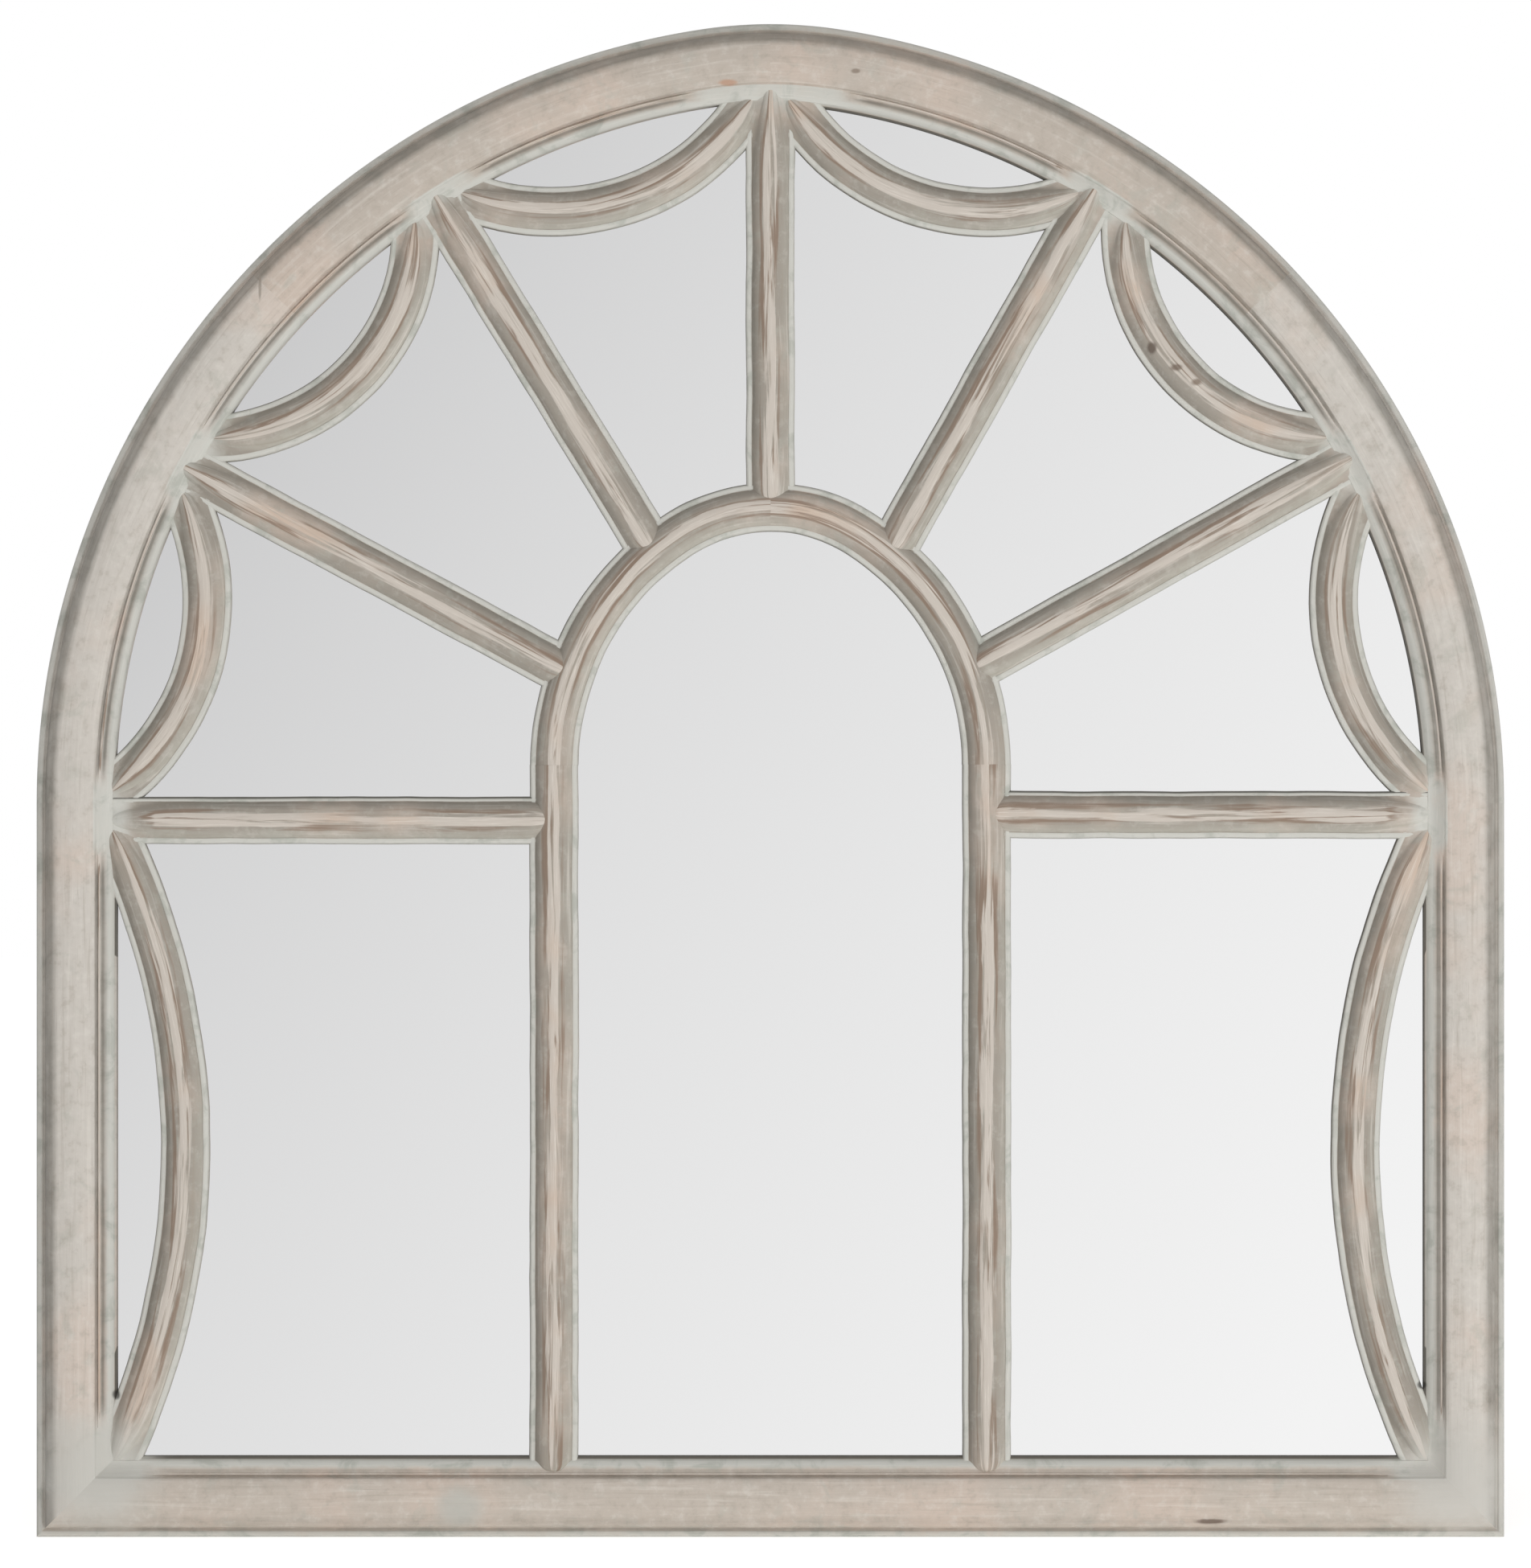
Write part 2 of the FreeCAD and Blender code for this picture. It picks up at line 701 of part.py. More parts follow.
def build_frame():
    """The seven members of the outer frame and the pegs and tongues that join them."""
    holes = (frame_pegs(glue_gap) + mitre_tongues(glue_gap) + lattice_pegs(glue_gap)
             + board_screw_shanks() + hanger_screw_shanks())
    export(bottom_rail().cut(holes), "bottom_rail")
    export_pair(stile().cut(holes), "stile")
    export_pair(haunch().cut(holes), "haunch")
    export_pair(crown().cut(holes), "crown")
    export(Part.makeCompound(mitre_tongues(0)), "mitre_tongues")
    export(Part.makeCompound(frame_pegs(0)), "frame_dowels")


def build_lattice():
    """The inner arch, the bars that run from it to the frame, and the swags between the bars."""
    opening = prism(arch_wire(outer_arch, frame_width, frame_width, -overrun))
    window = prism(arch_wire(inner_arch, -half_bar, 0, -overrun))
    holes = lattice_pegs(glue_gap)
    export_pair(inner_stile().cut(holes), "inner_stile")
    export_pair(inner_arch_half().cut(holes), "inner_arch")
    bars = {
        "centre_bar": ray_blank(0, 90),
        "upper_ray": ray_blank(upper_ray_centre_height, upper_ray_angle),
        "lower_ray": ray_blank(lower_ray_centre_height, lower_ray_angle),
        "cross_bar": ray_blank(cross_bar_height, 0),
    }
    for name in bars:
        bars[name] = largest(bars[name].common(opening).cut(window))
    export(bars["centre_bar"].cut(holes), "centre_bar")
    for name in ("upper_ray", "lower_ray", "cross_bar"):
        export_pair(bars[name].cut(holes), name)
    swags = {
        "crown_swag": swag_blank(crown_swag_offset, upper_ray_length - crown_swag_offset,
                                 crown_swag_sag),
        "shoulder_swag": swag_blank(upper_ray_length + shoulder_swag_offset,
                                    lower_ray_length - shoulder_swag_offset, shoulder_swag_sag),
        "haunch_swag": swag_blank(lower_ray_length + haunch_swag_offset,
                                  cross_bar_length - haunch_swag_offset, haunch_swag_sag),
        "stile_swag": swag_blank(cross_bar_length + stile_swag_offset,
                                 edge_length(frame_width) - stile_swag_foot_offset,
                                 stile_swag_sag),
    }
    for name, blank in swags.items():
        export_pair(largest(blank.common(opening).cut(list(bars.values()))), name)
    export(Part.makeCompound(lattice_pegs(0)), "bar_dowels")


def build_back():
    """The mirror, its backing board, and everything fixed to the back."""
    export(mirror_sheet(), "mirror_sheet")
    export(backing_board(), "backing_board")
    export(Part.makeCompound(board_screws()), "board_screws")
    export_pair(hanger_strap(), "hanger_strap")
    export_pair(hanging_ring(), "hanging_ring")
    export(Part.makeCompound(hanger_screws()), "hanger_screws")
    export(Part.makeCompound(both_sides(bumper())), "wall_bumpers")


os.makedirs("parts", exist_ok=True)
build_frame()
build_lattice()
build_back()
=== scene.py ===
import math

import bmesh
import bpy
from bpy.props import FloatProperty, FloatVectorProperty, PointerProperty
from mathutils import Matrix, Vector


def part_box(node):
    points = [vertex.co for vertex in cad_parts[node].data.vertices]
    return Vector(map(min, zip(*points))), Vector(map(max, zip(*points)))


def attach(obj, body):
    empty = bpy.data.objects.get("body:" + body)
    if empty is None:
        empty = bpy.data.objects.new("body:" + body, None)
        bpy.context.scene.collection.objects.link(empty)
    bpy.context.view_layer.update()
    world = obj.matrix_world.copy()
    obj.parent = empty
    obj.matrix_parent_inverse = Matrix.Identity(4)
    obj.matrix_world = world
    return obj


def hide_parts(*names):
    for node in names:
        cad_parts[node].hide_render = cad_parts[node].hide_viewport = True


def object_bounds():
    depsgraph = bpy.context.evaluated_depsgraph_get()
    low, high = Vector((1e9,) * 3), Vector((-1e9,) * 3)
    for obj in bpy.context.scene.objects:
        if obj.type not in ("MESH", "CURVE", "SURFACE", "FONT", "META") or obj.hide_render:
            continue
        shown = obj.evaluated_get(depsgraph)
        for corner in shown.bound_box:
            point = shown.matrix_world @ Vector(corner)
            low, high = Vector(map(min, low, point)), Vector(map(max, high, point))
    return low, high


bl_info = {
    "name": "Arched window mirror",
    "version": (1, 0, 0),
    "blender": (4, 5, 0),
    "location": "View3D > Sidebar > Mirror",
    "description": "Models a limewashed arched window mirror on its packed frame",
    "category": "Add Mesh",
}

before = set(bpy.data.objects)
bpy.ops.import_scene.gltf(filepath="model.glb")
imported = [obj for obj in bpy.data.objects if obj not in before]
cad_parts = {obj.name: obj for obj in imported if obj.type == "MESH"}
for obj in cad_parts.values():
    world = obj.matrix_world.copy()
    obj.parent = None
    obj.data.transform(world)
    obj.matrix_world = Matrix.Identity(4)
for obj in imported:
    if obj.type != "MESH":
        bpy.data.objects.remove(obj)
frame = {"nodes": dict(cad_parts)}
CAD_LOW, CAD_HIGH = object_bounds()

MM = 0.001
WOOD_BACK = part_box("bottom_rail")[1].y
GLASS_FRONT = WOOD_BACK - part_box("mirror_sheet")[0].y
HALF_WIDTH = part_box("right_stile")[1].x
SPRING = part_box("right_stile")[1].z
QUARTER = math.pi / 2
# how near counts as the same place, how far apart the sections of a bent piece are, and how far the
# paint fades along a carved end
NEAR = 0.05 * MM
FRAME_STATION = 4 * MM
BAR_STATION = 3.6 * MM
CARVED_RUN = 34 * MM


def linear(code):
    """A hex colour as it looks on a screen, turned to the linear values that shaders use."""
    values = [int(code[i:i + 2], 16) / 255 for i in (1, 3, 5)]
    return [v / 12.92 if v <= 0.04045 else ((v + 0.055) / 1.055) ** 2.4 for v in values] + [1.0]


# ---------------------------------------------------------------- sizes and colours a user may change

def length(name, default, description):
    """A length that the panel shows in the scene's own unit. The default is in millimetres."""
    return FloatProperty(name=name, description=description, default=default * MM, unit="LENGTH", precision=4)


def tint(name, code, description):
    """A colour that the panel shows."""
    return FloatVectorProperty(name=name, description=description, subtype="COLOR", size=4,
                               default=linear(code))


class MirrorFrameSizes(bpy.types.PropertyGroup):
    """Moulding of the outer frame"""
    width: length("Member width", 42.5, "From the rim to the glass")
    side_radius: length("Side radius", 434.7, "Radius of the rim's two side arcs")
    crown_radius: length("Crown radius", 255.4, "Radius of the rim's top arc")
    broad_edge: length("Broad edge", 1.4, "How much further the lip of some members runs out over the glass")
    web_reach: length("Web reach", 34, "How far each carved web runs from its joint")


class MirrorBarSizes(bpy.types.PropertyGroup):
    """Section of the glazing bars and swags"""
    width: length("Bar width", 27, "Over both lips")
    bead_width: length("Bead width", 20, "Bead between the two lips, at its foot")
    ridge_width: length("Ridge width", 6.8, "Worn top of the bead")
    lip_height: length("Lip height", 5, "Lips above the glass")
    ridge_height: length("Ridge height", 9.6, "Edge of the ridge above the glass")
    waver: length("Hand waver", 1.1, "How far hand work lets an edge stray")


class MirrorFinish(bpy.types.PropertyGroup):
    """Colours and wear"""
    wash: tint("Limewash", "#c9c3bb", "Greige wash on the broad faces")
    slope: tint("Thin wash", "#9f988e", "Greyer wash on the slopes of the beads")
    ridge: tint("Ridge", "#c8bfb5", "Pinkish wash on the tops of the beads")
    bare: tint("Rubbed wood", "#86705f", "Brown wood where the wash is rubbed through")
    glaze: tint("Grey-green glaze", "#cac9c2", "Thick pale glaze on the lips")
    # this colour also paints the shade in the hollows and the shade line at the edge by the glass
    dark_glaze_and_shade: tint("Dark glaze", "#67635a", "Olive-grey glaze left in the hollows")
    wear: FloatProperty(name="Wear", description="How much of the ridges is rubbed through",
                        subtype="FACTOR", min=0, max=1, default=0.5)
    silver: tint("Silvering", "#fafafa", "Tint of the mirror")


# the picture is 1950 pixels high, at 0.446575 mm to the pixel
PICTURE_HEIGHT = 1950 * 0.446575 * MM


class MirrorStage(bpy.types.PropertyGroup):
    """Floor, light and camera"""
    camera_distance: FloatProperty(name="Camera distance", description="From the camera to the mirror",
                                   default=3.6, unit="LENGTH")
    view_height: FloatProperty(name="View height", description="Height that the picture shows",
                               default=PICTURE_HEIGHT, unit="LENGTH", precision=4)
    ambient: FloatProperty(name="Ambient light", description="Strength of the even light",
                           default=0.5, min=0)
    key: FloatProperty(name="Key light", description="Power of the large lamp at the lower right",
                       subtype="POWER", default=42, min=0)
    fill: FloatProperty(name="Fill light", description="Power of the lamp beside the camera",
                        subtype="POWER", default=33, min=0)


class MirrorSettings(bpy.types.PropertyGroup):
    """All the settings of the mirror"""
    frame: PointerProperty(type=MirrorFrameSizes)
    bars: PointerProperty(type=MirrorBarSizes)
    finish: PointerProperty(type=MirrorFinish)
    stage: PointerProperty(type=MirrorStage)


# ---------------------------------------------------------------- bench work
# Every wooden piece is worked lying on a bench: X runs along it, Y across it and Z is its height above
# the flat back of the wood. It is bent along its line there, in plan, and then stood upright.

def deselect():
    """Nothing selected, in object mode."""
    if bpy.context.object and bpy.context.object.mode != "OBJECT":
        bpy.ops.object.mode_set(mode="OBJECT")
    bpy.ops.object.select_all(action="DESELECT")


def take(piece, mode="OBJECT"):
    """Make one piece the only selected and active one."""
    deselect()
    piece.select_set(True)
    bpy.context.view_layer.objects.active = piece
    if mode != "OBJECT":
        bpy.ops.object.mode_set(mode=mode)


def pick(piece, points=None, edges=None, faces=None):
    """In edit mode, select the points, edges or faces that pass a test of their place or normal."""
    kind = "VERT" if points else "EDGE" if edges else "FACE"
    bpy.ops.mesh.select_mode(type=kind)
    bpy.ops.mesh.select_all(action="DESELECT")
    mesh = bmesh.from_edit_mesh(piece.data)
    if points:
        for point in mesh.verts:
            point.select = points(point.co)
    elif edges:
        for edge in mesh.edges:
            edge.select_set(edges(edge.verts[0].co, edge.verts[1].co))
    else:
        for face in mesh.faces:
            face.select_set(faces(face.calc_center_median(), face.normal))
    mesh.select_flush_mode()
    bmesh.update_edit_mesh(piece.data)


def extrude(step):
    """In edit mode, extrude what is selected by one step."""
    bpy.ops.mesh.extrude_region_move(TRANSFORM_OT_translate={"value": step})


def shift(piece, points, step):
    """Move the points that pass a test by one step."""
    take(piece, "EDIT")
    pick(piece, points=points)
    bpy.ops.transform.translate(value=step)
    bpy.ops.object.mode_set(mode="OBJECT")


def duplicate(piece, name):
    """A copy with its own mesh."""
    copy = piece.copy()
    copy.data = piece.data.copy()
    copy.name = copy.data.name = name
    bpy.context.collection.objects.link(copy)
    return copy


def draw_section(name, corners):
    """Draw a closed section by extruding one point from corner to corner. A corner is its place across, its
    height, how far its edge bows out, in how many parts, and its paint marks: rubbed ridge; dark glaze with
    painted shade in the hollows; glazed lip; and a painted shade line at the edge by the glass. Marks left
    out are 0. They, and the girth walked so far, stay with the points when the section is extruded."""
    deselect()
    bpy.ops.mesh.primitive_plane_add(size=MM)
    section = bpy.context.object
    section.name = section.data.name = name
    bpy.ops.object.mode_set(mode="EDIT")
    bpy.ops.mesh.select_mode(type="VERT")
    bpy.ops.mesh.select_all(action="SELECT")
    bpy.ops.mesh.merge(type="CENTER")
    here = Vector((corners[0][0], corners[0][1])) * MM
    bpy.ops.transform.translate(value=(0, here.x, here.y))
    corners = [corner + (0,) * (8 - len(corner)) for corner in corners]
    walked = [(here.copy(), corners[0][4:], 0.0)]
    for across, height, bow, parts, *paint in corners[1:] + corners[:1]:
        start, end = here.copy(), Vector((across, height)) * MM
        side = Vector((start.y - end.y, end.x - start.x)).normalized()
        before = walked[-1][1]
        for part in range(1, parts + 1):
            share = part / parts
            spot = start.lerp(end, share) + side * (4 * bow * MM * share * (1 - share))
            step = spot - here
            extrude((0, step.x, step.y))
            mixed = [a + (b - a) * share for a, b in zip(before, paint)]
            walked.append((spot, mixed, walked[-1][2] + step.length))
            here = spot
    bpy.ops.mesh.select_all(action="SELECT")
    bpy.ops.mesh.remove_doubles(threshold=0.01 * MM)
    bpy.ops.mesh.edge_face_add()
    bpy.ops.object.mode_set(mode="OBJECT")
    section.data.attributes.new("paint", "FLOAT_COLOR", "POINT")
    section.data.attributes.new("girth", "FLOAT", "POINT")
    marks, girth = section.data.attributes["paint"].data, section.data.attributes["girth"].data
    for vertex in section.data.vertices:
        _, paint, girth[vertex.index].value = min(walked, key=lambda spot: (spot[0] - vertex.co.yz).length)
        marks[vertex.index].color = paint
    return section


def frame_section(sizes):
    """Moulding of the frame: ledge, quirk, crowned face, groove, thin ridge and lip, with the
    rabbets for the mirror and the board behind."""
    width = sizes.width / MM
    glass = GLASS_FRONT / MM
    mirror_rabbet, board_rabbet, board_bed = 33.5, 26.5, 3.5
    # the dark marks of the ledge, quirk, face foot and groove are dark glaze that also carries painted shade,
    # the negative mark on the face a painted highlight, and the edge marks at the glass a painted shade line
    return draw_section("frame_section", [
        (0, 0, 0, 1), (0, 10.5, 0, 2, 0, .1, .75), (3.2, 13.8, 1.0, 5, 0, .42, .65),
        (4.3, 13.1, 0, 1, 0, .52, .3), (5.1, 13.2, 0, 1, 0, .52, .2), (9.3, 19.0, .9, 5, 0, .6),
        (13.6, 21.0, .3, 3, 0, .05), (17.5, 21.74, .07, 2, 0, -.6), (22, 22, .07, 3),
        (32.7, 19.9, .4, 6, .1, .05), (33.3, 18.6, .12, 2, 0, .4), (33.8, 15.4, -.1, 3, 0, .5),
        (34.3, 14.9, 0, 1, 0, .5), (34.8, 16.0, 0, 1, .9, 0, .2), (35.7, 16.1, .1, 2, 1, 0, .2),
        (36.3, 15.1, 0, 1, 0, .6), (37.3, 14.9, 0, 1, 0, .75, .1), (38.3, 15.1, 0, 1, 0, .5, .5),
        (width - .9, 13.4, .35, 4, 0, 0, 1), (width + .9, 9.6, .45, 4, 0, .1, .5, 1),
        (width + .9, glass, 0, 2, 0, .3, 0, 1),
        (mirror_rabbet, glass, 0, 1), (mirror_rabbet, board_bed, 0, 1),
        (board_rabbet, board_bed, 0, 1), (board_rabbet, 0, 0, 1)])


def bar_section(sizes):
    """Glazing bar: two low lips and a rounded bead with a worn ridge."""
    half, foot, ridge = sizes.width / 2 / MM, sizes.bead_width / 2 / MM, sizes.ridge_width / 2 / MM
    glass = GLASS_FRONT / MM
    lip, top = glass + sizes.lip_height / MM, glass + sizes.ridge_height / MM
    # the dark marks at the feet of the bead and by the lips are dark glaze that also carries painted shade,
    # and the edge marks at the glass a painted shade line
    return draw_section("bar_section", [
        (-half, glass, 0, 1, 0, .3, .2, 1), (-half, lip - 2.2, 0, 1, 0, .1, .6, 1),
        (-half + 1.4, lip, .35, 3, 0, 0, .9), (-foot - .7, lip, 0, 1, 0, 0, 1),
        (-foot, lip - .2, 0, 1, 0, .4, .3), (-ridge, top, 1.0, 6, .88, .1),
        (0, top + .6, .15, 3, 1), (ridge, top, .15, 3, .88, .1),
        (foot, lip - .2, 1.0, 6, 0, .4, .3), (foot + .7, lip, 0, 1, 0, 0, 1),
        (half - 1.4, lip, 0, 1, 0, 0, .9), (half, lip - 2.2, .35, 3, 0, .1, .6, 1),
        (half, glass, 0, 2, 0, .3, .2, 1)])


def carve_end(piece, place, way, stations, lip):
    """Extrude the section that ends at a place, station by station, and narrow and lower its bead.
    A station is the step along, the bead's share of its width and its share of its height."""
    width = 1.0
    height = 1.0
    foot = bpy.context.scene.window_mirror.bars.bead_width / 2
    for step, wide, high in stations:
        pick(piece, points=lambda co: abs(co.x - place) < NEAR)
        place += way * step * MM
        extrude((way * step * MM, 0, 0))
        reach = foot * width + 0.02 * MM
        pick(piece, points=lambda co: abs(co.x - place) < NEAR and abs(co.y) < reach
             and co.z > lip - 0.02 * MM)
        bpy.ops.transform.resize(value=(1, wide / width, high / height), center_override=(place, 0, lip))
        width, height = wide, high
    return place


# the carved ends, as stations in mm and shares: a long blunt point and a long one that runs out flat,
# for the frame, a foot for the rail, a short rounded end for another bar, and an end that isn't carved
SPEAR = [(8, .97, 1), (8, .9, .99), (7, .81, .97), (6, .71, .93), (5, .61, .87), (5, .5, .78),
         (5, .38, .64), (5, .26, .44)]
FINGER = [(7, .97, 1), (7, .9, .98), (6, .81, .94), (5, .72, .87), (4, .63, .77), (3, .54, .62),
          (2.5, .45, .43), (2, .34, .22), (1.5, .2, .07), (1, .1, .01), (8, .1, .01)]
FOOT = [(3.5, .98, 1), (2.5, .94, 1), (2, .87, .97), (1.4, .77, .9), (1, .64, .78), (.7, .47, .6),
        (.4, .3, .4)]
BUTT = [(4, .98, .99), (3, .93, .98), (2, .85, .95), (1.4, .74, .9), (1, .58, .8), (.7, .4, .62),
        (.5, .2, .3)]
PLAIN = [(2, 1, 1)]


def bar_blank(section, name, start, finish, lip):
    """Straight bar with its two ends carved and no more than a slice of full section between. The paint of
    the ridge, and the dark glaze with painted shade in the hollows, fades towards a long end, and the pale
    glaze takes its place."""
    blank = duplicate(section, name)
    take(blank, "EDIT")
    bpy.ops.mesh.select_all(action="SELECT")
    extrude((MM, 0, 0))
    carve_end(blank, MM, 1, finish, lip)
    low = carve_end(blank, 0, -1, start, lip)
    bpy.ops.mesh.select_all(action="SELECT")
    bpy.ops.mesh.normals_make_consistent(inside=False)
    bpy.ops.transform.translate(value=(-low, 0, 0))
    bpy.ops.object.mode_set(mode="OBJECT")
    blank["slice"] = -low
    marks = blank.data.attributes["paint"].data
    for end, stations in ((0, start), (max(v.co.x for v in blank.data.vertices), finish)):
        if stations not in (SPEAR, FINGER):
            continue
        for vertex in blank.data.vertices:
            fade = max(0, 1 - abs(vertex.co.x - end) / CARVED_RUN)
            red, green, blue, glass = marks[vertex.index].color
            if fade and vertex.co.z > lip - 0.5 * MM and red < 0.9:
                marks[vertex.index].color = (red * (1 - .4 * fade), green * (1 - fade),
                                             max(blue, .8 * fade), glass)
    return blank


def lengthen(blank, name, whole):
    """Copy a blank, draw its far end out to a whole length, and divide the run between its ends."""
    bar = duplicate(blank, name)
    middle = blank["slice"]
    spare = whole - max(v.co.x for v in bar.data.vertices)
    shift(bar, lambda co: co.x > middle + 0.5 * MM, (spare, 0, 0))
    run = spare + MM
    take(bar, "EDIT")
    pick(bar, edges=lambda a, b: abs(a.x - b.x) > 0.9 * run)
    bpy.ops.mesh.subdivide(number_cuts=max(1, int(run / BAR_STATION)))
    bpy.ops.object.mode_set(mode="OBJECT")
    return bar


def lay_grain(piece, start):
    """UV map of the grain, laid while the piece is straight: metres along it and round its girth. Each
    piece starts at its own place in the grain."""
    layer = piece.data.uv_layers.new(name="grain")
    girth = piece.data.attributes["girth"].data
    for loop in piece.data.loops:
        along = piece.data.vertices[loop.vertex_index].co.x
        layer.data[loop.index].uv = (along + start, girth[loop.vertex_index].value)


def arc_leg(centre, radius, start, end):
    """Bezier points of an arc in plan, as place and two handles, none spanning over 30 degrees."""
    parts = max(1, math.ceil(abs(end - start) / (math.pi / 6)))
    step = (end - start) / parts
    reach = 4 / 3 * math.tan(step / 4) * radius
    points = []
    for index in range(parts + 1):
        angle = start + step * index
        spot = Vector((centre[0] + radius * math.cos(angle), centre[1] + radius * math.sin(angle), 0))
        handle = Vector((-math.sin(angle), math.cos(angle), 0)) * reach
        points.append([spot, spot - handle, spot + handle])
    return points


def line_leg(start, end):
    """Bezier points of a straight run in plan."""
    start, end = Vector((*start, 0)), Vector((*end, 0))
    third = (end - start) / 3
    return [[start, start - third, start + third], [end, end - third, end + third]]


def bend_and_stand(piece, *legs):
    """Bend a straight piece along its line in plan, then stand it upright in its place."""
    curve = bpy.data.curves.new("guide", "CURVE")
    curve.dimensions = "2D"
    curve.resolution_u = 48
    points = list(legs[0])
    for leg in legs[1:]:
        points[-1] = [points[-1][0], points[-1][1], leg[0][2]]
        points += leg[1:]
    line = curve.splines.new("BEZIER")
    line.bezier_points.add(len(points) - 1)
    for point, (spot, left, right) in zip(line.bezier_points, points):
        point.handle_left_type = point.handle_right_type = "FREE"
        point.co, point.handle_left, point.handle_right = spot, left, right
    guide = bpy.data.objects.new("guide", curve)
    bpy.context.collection.objects.link(guide)
    take(piece)
    bend = piece.modifiers.new("bend", "CURVE")
    bend.object = guide
    bend.deform_axis = "POS_X"
    bpy.ops.object.modifier_apply(modifier=bend.name)
    bpy.data.objects.remove(guide)
    piece.rotation_euler = (QUARTER, 0, 0)
    piece.location = (0, WOOD_BACK, 0)
    bpy.ops.object.transform_apply(location=True, rotation=True, scale=True)


def waver(piece, amount):
    """Let the edges stray in plan, as hand work does. Neighbours share the same drift, so they stay
    together, and nothing lifts from the glass."""
    take(piece)
    for axis in ("X", "Z"):
        drift = bpy.data.textures.get("drift_" + axis) or bpy.data.textures.new("drift_" + axis, "CLOUDS")
        drift.noise_scale = 0.034 if axis == "X" else 0.041
        drift.noise_depth = 2
        stray = piece.modifiers.new("stray", "DISPLACE")
        stray.texture = drift
        stray.texture_coords = "GLOBAL"
        stray.direction = axis
        stray.mid_level = 0.5
        stray.strength = amount
        bpy.ops.object.modifier_apply(modifier=stray.name)


def finish_piece(piece, node):
    """Smooth the piece over edges of up to 38 degrees, stand it for its CAD node, and let it ride on
    the frame."""
    take(piece)
    bpy.ops.object.shade_smooth_by_angle(angle=math.radians(38))
    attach(piece, "frame")
    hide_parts(node)


# ---------------------------------------------------------------- shaders

def add(tree, kind, inputs=None, **settings):
    """Add a node, set its properties and sockets, and link each socket that is given a socket."""
    made = tree.nodes.new(kind)
    for key, value in settings.items():
        setattr(made, key, value)
    for key, value in (inputs or {}).items():
        if isinstance(value, bpy.types.NodeSocket):
            tree.links.new(value, made.inputs[key])
        else:
            made.inputs[key].default_value = value
    return made


def new_material(name):
    """Empty node material and its tree, with an output."""
    material = bpy.data.materials.new(name)
    material.use_nodes = True
    material.node_tree.nodes.clear()
    return material, material.node_tree


def close_material(tree, **inputs):
    """Principled surface and output at the end of a material."""
    named = {key.replace("_", " "): value for key, value in inputs.items()}
    surface = add(tree, "ShaderNodeBsdfPrincipled", named)
    add(tree, "ShaderNodeOutputMaterial", {"Surface": surface.outputs[0]})


def object_place(tree):
    """Place on the mirror, in metres. The pieces stand at the origin, so they all share it."""
    return add(tree, "ShaderNodeTexCoord").outputs["Object"]


def vector(tree, operation, first, second=None, result="Vector"):
    """One step of vector arithmetic."""
    inputs = {0: first} if second is None else {0: first, 1: second}
    return add(tree, "ShaderNodeVectorMath", inputs, operation=operation).outputs[result]


def cloudy(tree, where, scale, detail, **more):
    """Soft noise. A scale of 100 makes patches some 10 mm across."""
    return add(tree, "ShaderNodeTexNoise",
               {"Vector": where, "Scale": scale, "Detail": detail, **more}).outputs[0]


def mixed(tree, share, below, above):
    """One colour laid over another."""
    return add(tree, "ShaderNodeMix", {"Factor": share, "A": below, "B": above},
               data_type="RGBA").outputs["Result"]


def spread(tree, value, first, last, low=0.0, high=1.0):
    """A value that goes from first to last while another goes from low to high."""
    return add(tree, "ShaderNodeMapRange", {"Value": value, "From Min": low, "From Max": high,
                                            "To Min": first, "To Max": last}).outputs[0]


# knots, cracks and stains that show in the photograph, and as the last two, near-black painted shade in the
# tips of the two narrow panes: x, z and half sizes in millimetres, and colour
STAINS_AND_SHADE_SPOTS = (
    (211.7, 660, 2.6, 3.2, "#5b4d43"), (225.1, 648.9, 3.6, 2, "#6f5f52"), (236.2, 640.8, 3.2, 2, "#7b6a5b"),
    (244.3, 9.4, 9, 1.6, "#5d4c40"), (47.3, 812.8, 2.4, 1.3, "#85776a"), (-23.7, 806.5, 5, 1.8, "#b8927a"),
    (-282.7, 694, .8, 8, "#9b9186"), (-363, 79, 2.1, 2.6, "#24221f"), (361.8, 84.5, 2.5, 2.2, "#24221f"))
# thick pale wash brushed over the two mitres and over a spot on the rail: x, z, half size, share, colour
HAZES = ((381, 31, 34, .88, "#c4c1ba"), (-374, 37, 32, .88, "#c3c1ba"), (-172, 17, 13, .75, "#b8b8b1"))


